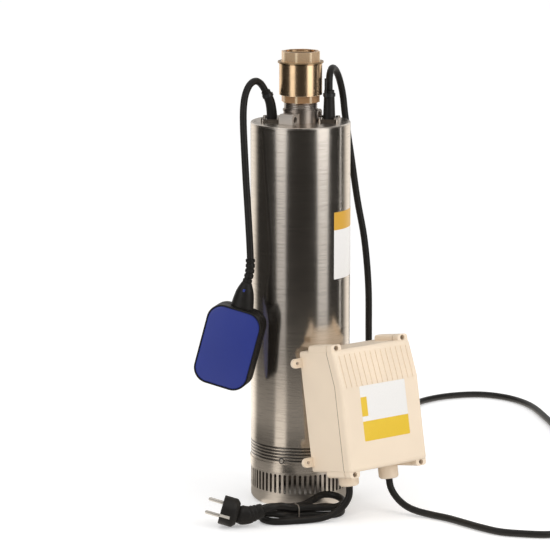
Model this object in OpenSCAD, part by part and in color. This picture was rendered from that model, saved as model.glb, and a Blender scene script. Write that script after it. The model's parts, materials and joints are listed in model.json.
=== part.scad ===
// Borehole submersible pump with a check valve, a float switch, a control box and its cords.
// Millimetres. +Z is up along the pump's axis, the origin is the middle of the face it stands on,
// and -Y is the side that the float switch hangs at.

/* [Casing] */
// Outer diameter of the steel jacket
body_d = 128; // [124:1:138]
// Sheet thickness of the jacket
jacket_wall = 1.5; // [1:0.1:2]
// Length of the jacket from the suction ring to the cover
jacket_len = 410.5; // [405:0.5:470]
// Height of the perforated suction strainer
strainer_h = 46.5; // [40:0.5:60]
// Number of slots round the strainer
slot_count = 60; // [36:1:66]
// Width of one strainer slot
slot_w = 3.4; // [2:0.1:4]
// Length of one strainer slot
slot_len = 25; // [15:1:26]
// Rounding of the strainer's lower edge
base_round = 8; // [4:1:12]
// Height of the grooved suction ring
ring_h = 34.5; // [33:0.5:44]
// Number of grooves round the suction ring
groove_count = 5; // [3:1:5]
// Distance from one groove to the next
groove_pitch = 4.1; // [3.4:0.1:4.2]
// Thickness of the top cover
cover_t = 3; // [3:0.5:5]

/* [Outlet and check valve] */
// Height of the outlet neck above the cover
neck_h = 16.5; // [14:0.5:24]
// Radius of the thread bore at the outlet
outlet_r = 19.5; // [17:0.5:20]
// Distance across the flats of the valve's octagons
octagon_af = 46.4; // [45:0.2:50]
// Outer diameter of the valve's barrel
barrel_d = 55; // [53:0.5:60]
// Height of the valve's barrel
barrel_h = 42.6; // [41:0.2:55]
// How far the valve's poppet lifts
poppet_lift = 8; // [4:0.5:8]

/* [Hydraulics and motor] */
// Number of pump stages
stage_count = 5; // [3:1:6]
// Height of one stage
stage_h = 22; // [21:0.5:24]
// Diameter of the impellers
impeller_d = 98; // [80:1:102]
// Blades of each impeller
blade_count = 6; // [4:1:7]
// Diameter of the shaft
shaft_d = 16; // [14:0.5:17]
// Outer diameter of the motor can
can_d = 100; // [98:1:104]
// Length of the motor can
can_len = 200; // [195:5:220]
// Length of the stator and rotor stacks
stack_len = 120; // [80:5:130]

/* [Float switch] */
// Width of the float
float_w = 72; // [60:1:76]
// Length of the float
float_h = 104; // [90:1:112]
// Thickness of the float's rim band
float_t = 36; // [34:1:38]
// Angle between the hanging float and the upright
float_tilt = 14.7; // [10:0.1:25]

/* [Control box] */
// Width of the control box
box_w = 126; // [120:1:140]
// Height of the control box
box_h = 155; // [145:1:160]
// Depth of the box base
box_d = 64; // [58:1:70]
// Depth of the box lid
lid_d = 13; // [11:0.5:18]
// Wall thickness of base and lid
box_wall = 2.5; // [2:0.1:3.5]
// Ribs on the sloped front of the lid
rib_count = 14; // [8:1:18]
// Distance of each cable gland from the side of the box
gland_in = 30.5; // [30.5:0.5:36]

/* [Cords] */
// Diameter of the rubber cables
cable_d = 9; // [7.5:0.5:10]

/* [Hidden] */
$fn = 64;
// Clearance between parts that are pushed together
fit = 0.1;
// Clearance between parts that only come near each other
gap = 0.3;
// Clearance of a press fit
press = 0.02;

body_r = body_d / 2;
jacket_in = body_r - jacket_wall;
ring_wall = 4.5;
ring_in = body_r - ring_wall;
cable_r = cable_d / 2;
shaft_r = shaft_d / 2;
can_r = can_d / 2;

// Heights of the casing
z_ring = strainer_h;
z_jacket = z_ring + ring_h;
z_cover = z_jacket + jacket_len;
z_top = z_cover + cover_t;
strainer_wall = 2;
slot_z = z_ring - 2.6 - slot_len;
collar_h = 19;
band_h = 11.5;
screw_z = z_ring + 15.5;
screw_turn = 248;
groove_z = z_jacket - 2.2;
spigot_h = 9;
o_ring_r = 1;
z_ledge = z_ring + 23.5;
ledge_r = 50;
ledge_t = 4;

// Heights of the stages
z_plate = z_ledge + ledge_t;
plate_t = 4;
z_stage = z_plate + plate_t;
z_seal = z_stage + stage_count * stage_h;
bowl_r = ring_in - fit;
bowl_in = bowl_r - 2;
eye_r = 20;
hub_r = shaft_r + 3;
impeller_r = impeller_d / 2;
diffuser_r = 52;
diffuser_z = 12.5;
diffuser_t = 1.5;

// Heights of the seal housing and the motor
skirt_h = 12;
z_oil = z_seal + skirt_h;
seal_floor_t = 4;
chamber_h = 14;
z_bracket = z_oil + seal_floor_t + chamber_h;
bracket_t = 4;
z_can = z_bracket + bracket_t;
z_cap = z_can + can_len;
cap_t = 4;
can_in = can_r - 1.5;
bearing_r = 20;
bearing_h = 12;
z_bearing_low = z_can + 2;
z_bearing_up = z_cap - 2 - bearing_h;
z_stack = z_can + (can_len - stack_len) / 2;
winding_h = 16;
stator_in = 28;
rotor_r = 27.5;

// Heights of the outlet and its valve
neck_r = 22;
neck_bore = 15;
thread_r = 20.9;
thread_show = 9;
z_neck = z_top + neck_h;
z_valve = z_neck + thread_show;
end_octagon_h = 9.3;
top_octagon_h = 12.7;
z_barrel = z_valve + end_octagon_h;
z_barrel_top = z_barrel + barrel_h;
z_outlet = z_barrel_top + top_octagon_h;
octagon_r = octagon_af / 2 / cos(22.5);
octagon_turn = 270 - 13.5;
chamber_r = barrel_d / 2 - 4;
seat_z = z_barrel + 7.7;
guide_t = 3;
z_guide = z_barrel + 33.7 - guide_t;
poppet_r = 19;
stem_r = 3.2;
lug_w = 20;
lug_reach = 38;
lug_h = 12.5;
lug_hole_r = 4;
lug_turn = 240;

// Cable boots on the cover
boot_x = 36.5;
boot_flange_r = 9.5;
boot_h = 40;
boot_r = cable_r + 3.5;
boot_end_r = cable_r + 2;
clamp_w = 27;
clamp_t = 4;
clamp_screw = 10;
clamp_turn = -8;
// Middle line of the leaning float cable boot, from the cover
boot_lean_route = [[-36.5, 0, 1.5], [-37, 0, 12.5], [-39.3, -0.8, 26], [-44.9, -2.5, 39.1]];

// Float switch
float_round = 20;
float_wall = 4;
float_turn = -12;
float_neck_len = 50;
float_neck = float_h / 2 + float_neck_len;
float_x = -89.4;
float_y = 3 - body_r;
float_z = 214;
crown = 2;
crown_r = 600;
ball_r = 8;
ball_travel = 14;
capsule_w = 26;
capsule_h = 60;

// Control box, its local origin is the middle of the jacket's touch on its upper back edge
box_turn = 38;
box_lean = 10.5;
box_top = 210.8;
box_off = 11.4;
box_round = 4;
slope_h = 46;
slope_in = 10;
gasket_t = 1;
lid_round = 5;
lid_front = box_d + gasket_t + lid_d;
boss_w = 16;
boss_out = 7;
boss_in = 5;
boss_screw = 2.6;
boss_x = box_w / 2 - boss_w / 2 - 1;
ear_len = 16;
ear_h = 12;
ear_t = 4;
ear_z = 14;
ear_hole_r = 2.25;
gland_y = 33;
gland_r = 12.4;
gland_flange_h = 5;
gland_nut_h = 16;

// Plug at the end of the mains cord
plug_pos = [-88.5, -151, 19.7];
plug_turn = [-10.6, -15.8, 177.3];
plug_r = 18.5;
plug_len = 22;
plug_bevel = 4.5;
plug_neck_r = 12;
plug_neck_end_r = 8.5;
earth_slot = [13, 5, 6];
earth_strip = [13, 1, 4];
pin_r = 2.4;
pin_len = 19;
pin_gap = 19;

// Coil and hank that hold the unseen length of the cords
coil_pos = [467, 60, 0];
coil_r = 81;
coil_w = 38;
hank_pos = [2, -104, 0];
hank_turn = 23.6;
hank_len = 70;
hank_r = 25;
hank_h = 20;

// Cable ties
tie_t = 1.5;
tie_w = 5;
tie_turns = [20, 110, 270];
hank_tie_x = -6;
tie_lock = [3.8, 4.8, 6];
tie_tail = [1.3, 4, 26];
lean_tie_pos = [-41.2, -1.4, 31.5];
lean_tie_tilt = 21;

// Parts inside the control box
capacitor_r = 20;
capacitor_len = 84;
capacitor_x = -22;
capacitor_z = 45;
terminal_size = [46, 20, 60];
terminal_x = 6;
terminal_z = 50;

// Routes of the cords: middle points, chosen by hand
float_route = [
    [-44.9, -2.5, 533.6], [-50.5, -5.5, 543], [-57, -12, 547.5], [-64, -20.5, 544.5],
    [-69.5, -28.5, 534], [-72.2, -34.5, 518], [-72.5, -39, 496], [-71, -44, 462],
    [-69, -49, 425], [-66.5, -54.5, 385], [-64.5, -59, 350], [-63.6, -61, 330], [-63.5, -61, 319.2]];
drop_route = [
    [36.5, 0, 534.5], [36.5, 1.5, 546], [37.6, 8, 556], [40.5, 19, 560.5], [45, 31, 556],
    [50, 41, 543], [54.5, 47.5, 522], [58, 50.5, 492], [66, 52, 439], [74, 53, 384],
    [83.5, 54, 331], [89, 57, 270], [90, 66, 205], [91, 82, 145], [93, 106, 88],
    [97, 140, 38], [103, 182, 10], [110, 230, 4.5], [124, 320, 4.5], [144, 430, 4.5],
    [160, 490, 4.5], [182, 530, 4.5], [220, 560, 4.5], [267, 570, 4.5], [308, 547, 4.5],
    [336, 500, 4.5], [352, 430, 4.5], [364, 350, 4.5], [371, 250, 4.5], [372.5, 150, 4.5],
    [372.5, 60, 4.5]];
return_route = [
    [372.5, 60, 31.5], [372.5, 0, 27], [371, -60, 17], [365, -115, 8], [352, -160, 4.5],
    [334, -189, 4.5], [309, -200, 4.5], [279, -197, 4.5], [250, -188, 4.5], [227, -168, 4.5],
    [208, -147, 4.5], [188, -125, 4.5], [166, -107, 4.6], [148, -97.5, 7], [135, -90, 11.5],
    [124, -83, 20], [116.5, -77.5, 31.5], [113.9, -74.5, 43.7]];
mains_route = [
    [62.7, -114.5, 43.7], [62, -117.5, 31], [55, -120.5, 19], [43, -124.5, 10.5],
    [28, -129.5, 6], [10, -134.5, 4.6], [-8, -139, 4.5]];
// Middle line of the plug's neck, from the plug's back to the cord
plug_neck_route = [
    [-84, -151.2, 18.4], [-75, -151.6, 15.8], [-66, -151.6, 15.6], [-56, -151.2, 18.6], [-46, -150.5, 22]];
// Middle line of the cord's last bit, from the plug's neck down into the hank
plug_lead_route = [
    [-45.9, -150.4, 22.1], [-37, -148.5, 24.5], [-27, -141, 25.5], [-15, -128, 22], [-4, -113, 14]];

// Colours of the materials
steel = [0.78, 0.78, 0.77];
dark_steel = [0.5, 0.51, 0.52];
brass = [0.8, 0.66, 0.36];
copper = [0.72, 0.43, 0.25];
rubber = [0.1, 0.1, 0.1];
grey_plastic = [0.35, 0.36, 0.37];
white_plastic = [0.85, 0.85, 0.83];
cream_plastic = [0.93, 0.87, 0.78];
blue_plastic = [0.16, 0.24, 0.52];

// A straight tube standing on z = 0
module tube(r_out, r_in, h) {
    difference() {
        cylinder(r = r_out, h = h);
        translate([0, 0, -1]) cylinder(r = r_in, h = h + 2);
    }
}

// A tube between two heights on the pump's axis
module ring_at(r_out, r_in, z_low, z_high) {
    translate([0, 0, z_low]) tube(r_out, r_in, z_high - z_low);
}

// A flat rectangle with round corners, about its middle
module rounded_rect(w, h, r) {
    square([w - 2 * r, h], center = true);
    square([w, h - 2 * r], center = true);
    for (x = [-1, 1]) for (y = [-1, 1])
        translate([x * (w / 2 - r), y * (h / 2 - r)]) circle(r);
}

// A rectangle of a turned profile, between two radii and two heights
module turned(r_in, r_out, z_low, z_high) {
    translate([r_in, z_low]) square([r_out - r_in, z_high - z_low]);
}

// Points on a smooth line through the points of a route, four steps to each of them
function along(p, i, t) =
    let (a = p[max(i - 1, 0)], b = p[i], c = p[i + 1], d = p[min(i + 2, len(p) - 1)])
    0.5 * (2 * b + (c - a) * t + (2 * a - 5 * b + 4 * c - d) * t * t
        + (3 * b - a - 3 * c + d) * t * t * t);
function smooth(p, steps) =
    concat([for (i = [0 : len(p) - 2]) for (s = [0 : steps - 1]) along(p, i, s / steps)],
        [p[len(p) - 1]]);
function unit(v) = v / norm(v);
function heading(p, i) = unit(p[min(i + 1, len(p) - 1)] - p[max(i - 1, 0)]);
// A direction square to the line, carried on from the one before so that the tube doesn't twist
function sideways(p, i) =
    let (d = heading(p, i), s = i == 0 ? (abs(d[2]) > 0.9 ? [1, 0, 0] : [0, 0, 1]) : sideways(p, i - 1))
    unit(s - (s * d) * d);

// A round tube along a line of points, from one radius to another
module sweep(p, r_start, r_end, sides) {
    last = len(p) - 1;
    points = [for (i = [0 : last])
        let (d = heading(p, i), u = sideways(p, i), v = cross(d, u), r = r_start + (r_end - r_start) * i / last)
        for (k = [0 : sides - 1]) p[i] + r * (cos(360 * k / sides) * u + sin(360 * k / sides) * v)];
    walls = [for (i = [0 : last - 1]) for (k = [0 : sides - 1])
        let (n = (k + 1) % sides)
        [i * sides + k, (i + 1) * sides + k, (i + 1) * sides + n, i * sides + n]];
    caps = [[for (k = [0 : sides - 1]) k], [for (k = [sides - 1 : -1 : 0]) last * sides + k]];
    polyhedron(points = points, faces = concat(walls, caps));
}

// Half profile of a cup with a rounded lower edge
module cup_profile(r, z_low, z_high, round) {
    turned(0, r - round, z_low, z_high);
    turned(0, r, z_low + round, z_high);
    translate([r - round, z_low + round]) circle(round);
}

module suction_strainer() color(steel) difference() {
    rotate_extrude() intersection() {
        union() {
            difference() {
                cup_profile(body_r, 0, z_ring, base_round);
                cup_profile(body_r - strainer_wall, strainer_wall, z_ring + 1, base_round - strainer_wall);
            }
            turned(ring_in - fit - 3, body_r - strainer_wall, z_ring - 2.2, z_ring);
            turned(ring_in - fit - 3, ring_in - fit, z_ring - 2.2, z_ring + collar_h);
        }
        turned(0, body_r + 1, 0, z_ring + collar_h);
    }
    for (i = [0 : slot_count - 1]) rotate([0, 0, i * 360 / slot_count])
        translate([body_r - strainer_wall - 1.5, 0, slot_z + slot_len / 2])
        rotate([90, 0, 90]) linear_extrude(strainer_wall + 3) {
            square([slot_w, slot_len - slot_w], center = true);
            for (y = [-1, 1]) translate([0, y * (slot_len - slot_w) / 2]) circle(slot_w / 2);
        }
    for (i = [0 : 2]) rotate([0, 0, screw_turn + i * 120]) translate([ring_in - 8, 0, screw_z])
        rotate([0, 90, 0]) cylinder(r = 2.5, h = 10);
}

module strainer_screws() color(dark_steel)
    for (i = [0 : 2]) rotate([0, 0, screw_turn + i * 120]) translate([0, 0, screw_z]) rotate([0, 90, 0])
        difference() {
            union() {
                translate([0, 0, ring_in - 2.5]) cylinder(r = 2.4, h = ring_wall + 0.4);
                translate([0, 0, body_r - 2]) cylinder(r = 3.5, h = 2);
            }
            translate([0, 0, body_r - 1.2]) cylinder(r = 1.7, h = 2, $fn = 6);
        }

module suction_ring() color(steel) difference() {
    rotate_extrude() difference() {
        union() {
            turned(ring_in, body_r + 1, z_ring, z_ring + band_h);
            turned(ring_in, body_r, z_ring + band_h, z_jacket);
            turned(ledge_r, ring_in, z_ledge, z_plate);
            turned(ring_in, jacket_in - fit, z_jacket, z_jacket + spigot_h);
        }
        for (i = [0 : groove_count - 1])
            translate([body_r + 0.5, groove_z - i * groove_pitch]) circle(1.5);
        turned(jacket_in - 2.2, jacket_in, z_jacket + spigot_h / 2 - 1.1, z_jacket + spigot_h / 2 + 1.1);
    }
    for (i = [0 : 2]) rotate([0, 0, screw_turn + i * 120]) translate([0, 0, screw_z]) rotate([0, 90, 0]) {
        translate([0, 0, ring_in - 1]) cylinder(r = 2.5, h = ring_wall + 3);
        translate([0, 0, body_r - 2]) cylinder(r = 3.8, h = 4);
    }
}

module outer_jacket() color(steel) ring_at(body_r, jacket_in, z_jacket, z_cover);

module casing_o_rings() color(rubber)
    for (z = [z_jacket + spigot_h / 2, z_cover - spigot_h / 2])
        translate([0, 0, z]) rotate_extrude() translate([jacket_in - o_ring_r - 0.1, 0]) circle(o_ring_r - 0.05);

// Places a child at both cable boots
module at_boots() {
    for (side = [-1, 1]) translate([side * boot_x, 0, z_top]) children();
}

module at_clamp_screws() {
    at_boots() rotate([0, 0, clamp_turn]) for (x = [-1, 1]) for (y = [-1, 1])
        translate([x * clamp_screw, y * clamp_screw, 0]) children();
}

module top_cover() color(steel) difference() {
    rotate_extrude() difference() {
        union() {
            turned(neck_r + fit, body_r - 1.5, z_cover, z_top);
            turned(neck_r + fit, body_r, z_cover, z_top - 1.5);
            translate([body_r - 1.5, z_top - 1.5]) circle(1.5);
            turned(jacket_in - fit - 5, jacket_in - fit, z_cover - spigot_h, z_cover);
        }
        turned(jacket_in - 2.2, jacket_in, z_cover - spigot_h / 2 - 1.1, z_cover - spigot_h / 2 + 1.1);
    }
    at_boots() translate([0, 0, -cover_t - 1]) cylinder(r = 7, h = cover_t + 2);
    at_clamp_screws() translate([0, 0, -cover_t - 1]) cylinder(r = 1.7, h = cover_t + 2);
    for (side = [-1, 1]) translate([side * (body_r - 6), 0, z_top - 2]) cylinder(r = 2, h = 3);
}

module outlet_neck() color(steel) difference() {
    union() {
        rotate_extrude() difference() {
            union() {
                turned(0, 25, z_cover - 4, z_cover - fit);
                turned(0, neck_r, z_cover - 1, z_neck);
                turned(0, neck_r + 0.9, z_neck - 2.4, z_neck - 0.6);
                turned(0, thread_r, z_neck, seat_z - 3.5);
            }
            turned(-1, neck_bore, z_cover - 5, seat_z);
        }
        for (turn = [0, 180]) rotate([0, 0, lug_turn + turn]) translate([neck_r - 3, 0, z_top + fit])
            rotate([90, 0, 0]) linear_extrude(lug_w, center = true)
            polygon([[0, 0], [lug_reach - neck_r + 3, 0], [lug_reach - neck_r + 3, lug_h - 3],
                [lug_reach - neck_r, lug_h], [0, lug_h]]);
    }
    for (turn = [0, 180]) rotate([0, 0, lug_turn + turn])
        translate([lug_reach - 7, 0, z_top + lug_h / 2 - 0.3])
        rotate([90, 0, 0]) cylinder(r = lug_hole_r, h = lug_w + 2, center = true);
}

// Foot of a cable boot: a plug through the cover and the flange that the clamp holds
module boot_foot() {
    translate([0, 0, -cover_t]) cylinder(r = 7 - fit, h = cover_t + 1);
    cylinder(r = boot_flange_r, h = 2.4);
}

module float_cable_boot() color(rubber) {
    translate([-boot_x, 0, z_top]) boot_foot();
    translate([0, 0, z_top]) sweep(smooth(boot_lean_route, 3), boot_r - 1, boot_end_r - 0.6, 16);
}

module power_cable_boot() color(rubber) translate([boot_x, 0, z_top]) {
    boot_foot();
    translate([0, 0, 2]) cylinder(r1 = boot_r, r2 = boot_end_r, h = boot_h - 2);
}

module boot_clamps() color(steel) difference() {
    at_boots() rotate([0, 0, clamp_turn]) linear_extrude(clamp_t) rounded_rect(clamp_w, clamp_w, 4);
    at_boots() translate([0, 0, -1]) cylinder(r = boot_flange_r + fit, h = 3.5);
    at_boots() cylinder(r = boot_r + gap, h = clamp_t + 1);
    at_clamp_screws() translate([0, 0, -1]) cylinder(r = 1.7, h = clamp_t + 2);
}

module clamp_screws() color(dark_steel) at_clamp_screws() difference() {
    union() {
        translate([0, 0, -cover_t]) cylinder(r = 1.6, h = cover_t + clamp_t);
        translate([0, 0, clamp_t]) cylinder(r = 3, h = 2);
    }
    translate([0, 0, clamp_t + 0.8]) cylinder(r = 1.4, h = 2, $fn = 6);
}

module boot_ties() color(rubber) {
    translate([boot_x, 0, z_top + boot_h - 8]) rotate([0, 0, 60]) {
        tube(boot_end_r + 0.5 + tie_t, boot_end_r + 0.5, tie_w);
        translate([-boot_end_r - 4.7, -tie_lock[1] / 2, -0.5]) cube(tie_lock);
        translate([-boot_end_r - 3.9, -tie_tail[1] / 2, tie_w]) rotate([6, 0, 0]) cube(tie_tail);
    }
    translate(lean_tie_pos + [0, 0, z_top]) rotate([0, -lean_tie_tilt, 0]) {
        tube(boot_end_r + 0.5 + tie_t, boot_end_r + 0.6, tie_w);
        rotate([0, 0, -90]) translate([-boot_end_r - 4.8, -tie_lock[1] / 2, -0.5]) cube(tie_lock);
    }
}

module octagon(h) {
    rotate([0, 0, octagon_turn]) cylinder(r = octagon_r, h = h, $fn = 8);
}

module valve_end() color(brass) difference() {
    union() {
        translate([0, 0, z_valve]) octagon(end_octagon_h);
        translate([0, 0, z_barrel - 1]) cylinder(r = chamber_r - fit, h = seat_z - z_barrel + 1);
    }
    translate([0, 0, z_valve - 1]) cylinder(r = thread_r + fit, h = seat_z - z_valve - 2);
    translate([0, 0, z_valve]) cylinder(r = neck_bore, h = seat_z - z_valve + 1);
}

module valve_body() color(brass) difference() {
    union() {
        translate([0, 0, z_barrel]) cylinder(r = barrel_d / 2, h = barrel_h);
        translate([0, 0, z_barrel_top - 2]) cylinder(r = barrel_d / 2 + 1.8, h = 2);
        translate([0, 0, z_barrel_top]) octagon(top_octagon_h);
    }
    translate([0, 0, z_barrel - 1]) cylinder(r = chamber_r, h = z_guide + guide_t - z_barrel + 1);
    translate([0, 0, z_barrel]) cylinder(r = outlet_r, h = z_outlet - z_barrel + 1);
}

module valve_guide() color(white_plastic) {
    difference() {
        union() {
            ring_at(chamber_r - fit, chamber_r - 3, z_guide, z_guide + guide_t);
            translate([0, 0, z_guide]) cylinder(r = 11, h = guide_t);
            translate([0, 0, z_guide - 9.5]) cylinder(r = 5.5, h = 10);
            for (i = [0 : 2]) rotate([0, 0, 120 * i]) translate([9, -2, z_guide])
                cube([chamber_r - 11, 4, guide_t]);
        }
        translate([0, 0, z_guide - 12]) cylinder(r = stem_r + 0.09, h = 20);
    }
}

module valve_poppet() color(white_plastic) {
    translate([0, 0, seat_z + 1.7]) cylinder(r = poppet_r, h = 2.5);
    translate([0, 0, seat_z + 4]) cylinder(r = stem_r, h = z_guide - seat_z - 2);
}

module valve_seal() color(rubber) ring_at(poppet_r, neck_bore - 2, seat_z + 0.2, seat_z + 1.7);

module valve_spring() color(dark_steel) {
    low = seat_z + 4.2 + 0.8;
    high = z_guide - 0.8;
    sweep([for (i = [0 : 54]) [9 * cos(i * 30), 9 * sin(i * 30), low + (high - low) * i / 54]], 0.7, 0.7, 8);
}

module inlet_plate() color(grey_plastic) difference() {
    translate([0, 0, z_plate]) cylinder(r = bowl_r, h = plate_t);
    translate([0, 0, z_plate - 1]) cylinder(r = eye_r, h = plate_t + 2);
    translate([0, 0, z_plate - 0.5]) cylinder(r1 = eye_r + 4, r2 = eye_r - 0.5, h = plate_t);
}

// Places a child at the foot of each stage
module at_stages() {
    for (i = [0 : stage_count - 1]) translate([0, 0, z_stage + i * stage_h]) children();
}

// One curved blade between two radii
module blade(r_in, r_out, t, h) {
    c = [r_out * 0.62, -r_out * 0.5];
    bend = norm(c - [r_in, 0]);
    linear_extrude(h) intersection() {
        translate(c) difference() {
            circle(bend + t / 2);
            circle(bend - t / 2);
        }
        difference() {
            circle(r_out);
            circle(r_in);
        }
        rotate(atan2(c[1], c[0])) square([2 * r_out, 2 * r_out]);
    }
}

module stage_bowls() color(grey_plastic) at_stages() {
    tube(bowl_r, bowl_in, stage_h - 1);
    translate([0, 0, stage_h - 2]) tube(bowl_r, eye_r, 2);
}

module impellers() color(white_plastic) at_stages() {
    translate([0, 0, -1.5]) tube(18.5, 16.5, 5);
    translate([0, 0, 3]) tube(impeller_r, 16.5, 1.5);
    translate([0, 0, 10]) tube(impeller_r, hub_r - 1, 1.5);
    translate([0, 0, 4]) tube(hub_r, shaft_r + press, stage_h);
    for (i = [0 : blade_count - 1]) rotate([0, 0, i * 360 / blade_count])
        translate([0, 0, 4]) blade(18, impeller_r - 0.5, 2, 6.5);
}

module diffusers() color(grey_plastic) at_stages() {
    translate([0, 0, diffuser_z]) tube(diffuser_r, hub_r + 2, diffuser_t);
    for (i = [0 : 6]) rotate([0, 0, i * 360 / 7]) translate([0, 0, diffuser_z + 1]) mirror([0, 1, 0])
        blade(eye_r + 2, bowl_in - fit, 2, stage_h - diffuser_z - 3);
}

module shaft_nut() color(steel) difference() {
    translate([0, 0, z_stage - 6]) cylinder(r = 13, h = 10, $fn = 6);
    translate([0, 0, z_stage - 7]) cylinder(r = shaft_r + press, h = 12);
}

module shaft() color(steel) rotate_extrude() {
    turned(0, shaft_r, z_stage - 10, z_bearing_up + bearing_h - gap);
    turned(0, hub_r, z_seal + 4, z_seal + 8);
    turned(0, shaft_r + 2, z_bearing_low + bearing_h + gap, z_bearing_up - gap);
}

module seal_rings() color(dark_steel) difference() {
    union() {
        translate([0, 0, z_oil + seal_floor_t + 1.3]) cylinder(r = shaft_r + 5, h = 3);
        translate([0, 0, z_oil + seal_floor_t + 4]) cylinder(r = shaft_r + 3, h = 4);
        translate([0, 0, z_bracket - 6.3]) cylinder(r = shaft_r + 5, h = 2);
        translate([0, 0, z_oil + seal_floor_t + 4]) cylinder(r = shaft_r + 3, h = chamber_h - 9);
    }
    translate([0, 0, z_oil]) cylinder(r = shaft_r + press, h = 40);
}

module seal_seats() color(white_plastic) {
    ring_at(shaft_r + 7 - fit, shaft_r + 1, z_oil, z_oil + seal_floor_t + 1);
    ring_at(shaft_r + 6 - fit, shaft_r + 1, z_bracket - 4, z_bracket + 3);
}

module seal_housing() color(dark_steel) difference() {
    rotate_extrude() {
        turned(bowl_r - 3, bowl_r, z_seal, z_oil + 1);
        turned(shaft_r + 7, bowl_r, z_oil, z_oil + seal_floor_t);
        turned(can_r - 6, can_r - 2, z_oil + 1, z_bracket);
    }
    for (i = [0 : 11]) rotate([0, 0, 30 * i]) translate([(can_r + bowl_r - 4) / 2, 0, z_oil - 1])
        cylinder(r = (bowl_r - can_r) / 2 - 1.2, h = seal_floor_t + 2);
}

module lower_bracket() color(dark_steel) difference() {
    rotate_extrude() {
        turned(shaft_r + 1, can_r, z_bracket, z_can);
        turned(can_in - 5, can_in - fit, z_can - 1, z_can + 6);
        turned(bearing_r, bearing_r + 4, z_can - 1, z_bearing_low + bearing_h);
        turned(shaft_r + 3, bearing_r + 1, z_can - 1, z_bearing_low);
    }
    translate([0, 0, z_bracket - 1]) cylinder(r = shaft_r + 6, h = 4);
}

// A ball bearing standing on z = 0
module ball_bearing() {
    bore = shaft_r + 0.05;
    middle = (bearing_r + bore) / 2;
    difference() {
        union() {
            tube(bearing_r - fit, bearing_r - 4, bearing_h);
            tube(bore + 3.5, bore, bearing_h);
        }
        translate([0, 0, bearing_h / 2]) rotate_extrude() translate([middle, 0]) circle(3);
    }
    for (i = [0 : 7]) rotate([0, 0, 45 * i]) translate([middle, 0, bearing_h / 2]) sphere(2.9);
}

module lower_bearing() color(steel) translate([0, 0, z_bearing_low]) ball_bearing();

module upper_bearing() color(steel) translate([0, 0, z_bearing_up]) ball_bearing();

module motor_can() color(steel) ring_at(can_r, can_in, z_can, z_cap);

module stator_core() color(dark_steel) ring_at(can_in - fit, stator_in, z_stack, z_stack + stack_len);

module stator_windings() color(copper) {
    ring_at(can_in - 4, stator_in + 3, z_stack - winding_h, z_stack);
    ring_at(can_in - 4, stator_in + 3, z_stack + stack_len, z_stack + stack_len + winding_h);
}

module rotor_core() color(dark_steel) {
    ring_at(rotor_r, shaft_r + 2 + press, z_stack, z_stack + stack_len);
    for (z = [z_stack - 5, z_stack + stack_len])
        translate([0, 0, z]) tube(rotor_r - 1.5, shaft_r + 6, 5);
}

module motor_top_cap() color(dark_steel) difference() {
    union() {
        rotate_extrude() {
            turned(0, can_r, z_cap, z_cap + cap_t);
            turned(can_in - 4.4, can_in - fit, z_cap - 8, z_cap + 1);
            turned(bearing_r, bearing_r + 4, z_bearing_up - 1, z_cap + 1);
            turned(0, bearing_r + 1, z_bearing_up + bearing_h, z_cap + 1);
        }
        for (side = [-1, 1]) translate([side * boot_x, 0, z_cap + 1]) cylinder(r = 11, h = z_cover - z_cap - 1);
    }
    for (side = [-1, 1]) translate([side * boot_x, 0, z_cap - 1]) cylinder(r = 6, h = z_cover - z_cap + 2);
}

// Places a child in the hanging float, whose middle is the local origin
module in_float() {
    translate([float_x, float_y, float_z]) rotate([0, float_tilt, 0]) rotate([0, 0, float_turn]) children();
}

module float_outline(inset) {
    rounded_rect(float_w - 2 * inset, float_h - 2 * inset, float_round - inset);
}

module float_band() color(rubber) in_float() rotate([90, 0, 0])
    linear_extrude(float_t, center = true) difference() {
        float_outline(0);
        float_outline(float_wall);
    }

// The front panel of the float, crowned outward
module float_panel() {
    intersection() {
        translate([0, 3 - float_t / 2, 0]) rotate([90, 0, 0]) linear_extrude(crown + 4)
            float_outline(float_wall + fit);
        translate([0, crown_r - crown - float_t / 2, -float_h]) cylinder(r = crown_r, h = 2 * float_h, $fn = 720);
        translate([-float_w, crown_r - crown - float_t / 2, 0]) rotate([0, 90, 0])
            cylinder(r = crown_r, h = 2 * float_w, $fn = 720);
    }
}

module float_front_shell() color(blue_plastic) in_float() float_panel();

module float_back_shell() color(blue_plastic) in_float() mirror([0, 1, 0]) float_panel();

module float_boot() color(rubber) in_float() rotate_extrude() {
    polygon([[0, float_h / 2], [14, float_h / 2], [13, float_h / 2 + 4], [6.5, float_h / 2 + 29],
        [cable_r + 0.2, float_h / 2 + 32], [cable_r + 0.2, float_neck], [0, float_neck]]);
    for (i = [0 : 2]) turned(0, cable_r + 1.8, float_h / 2 + 31.2 + i * 4.5, float_h / 2 + 33.8 + i * 4.5);
    intersection() {
        translate([0, float_neck]) circle(cable_r + 1.5);
        translate([0, float_neck - 10]) square([20, 20]);
    }
}

module switch_capsule() color(grey_plastic) in_float() difference() {
    translate([-capsule_w / 2, 7 - float_t / 2, -capsule_h / 2]) cube([capsule_w, float_t - 10, capsule_h]);
    translate([0, 0, -ball_r - ball_travel / 2 - gap]) cylinder(r = ball_r + gap, h = 2 * ball_r + ball_travel + 2 * gap);
    translate([-3, -30, -ball_r]) cube([6, 30, 2 * ball_r]);
}

module switch_ball() color(steel) in_float() translate([0, 0, -ball_travel / 2]) sphere(ball_r);

// Places a child on the leaning control box: local x across, -y to its front, z up from its upper back edge
module on_box() {
    reach = body_r + gap;
    translate([reach * sin(box_turn), -reach * cos(box_turn), box_top])
        rotate([-box_lean, 0, box_turn]) translate([box_off, 0, 0]) children();
}

module box_outline(inset) {
    translate([0, -box_h / 2]) rounded_rect(box_w - 2 * inset, box_h - 2 * inset, box_round);
}

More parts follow.
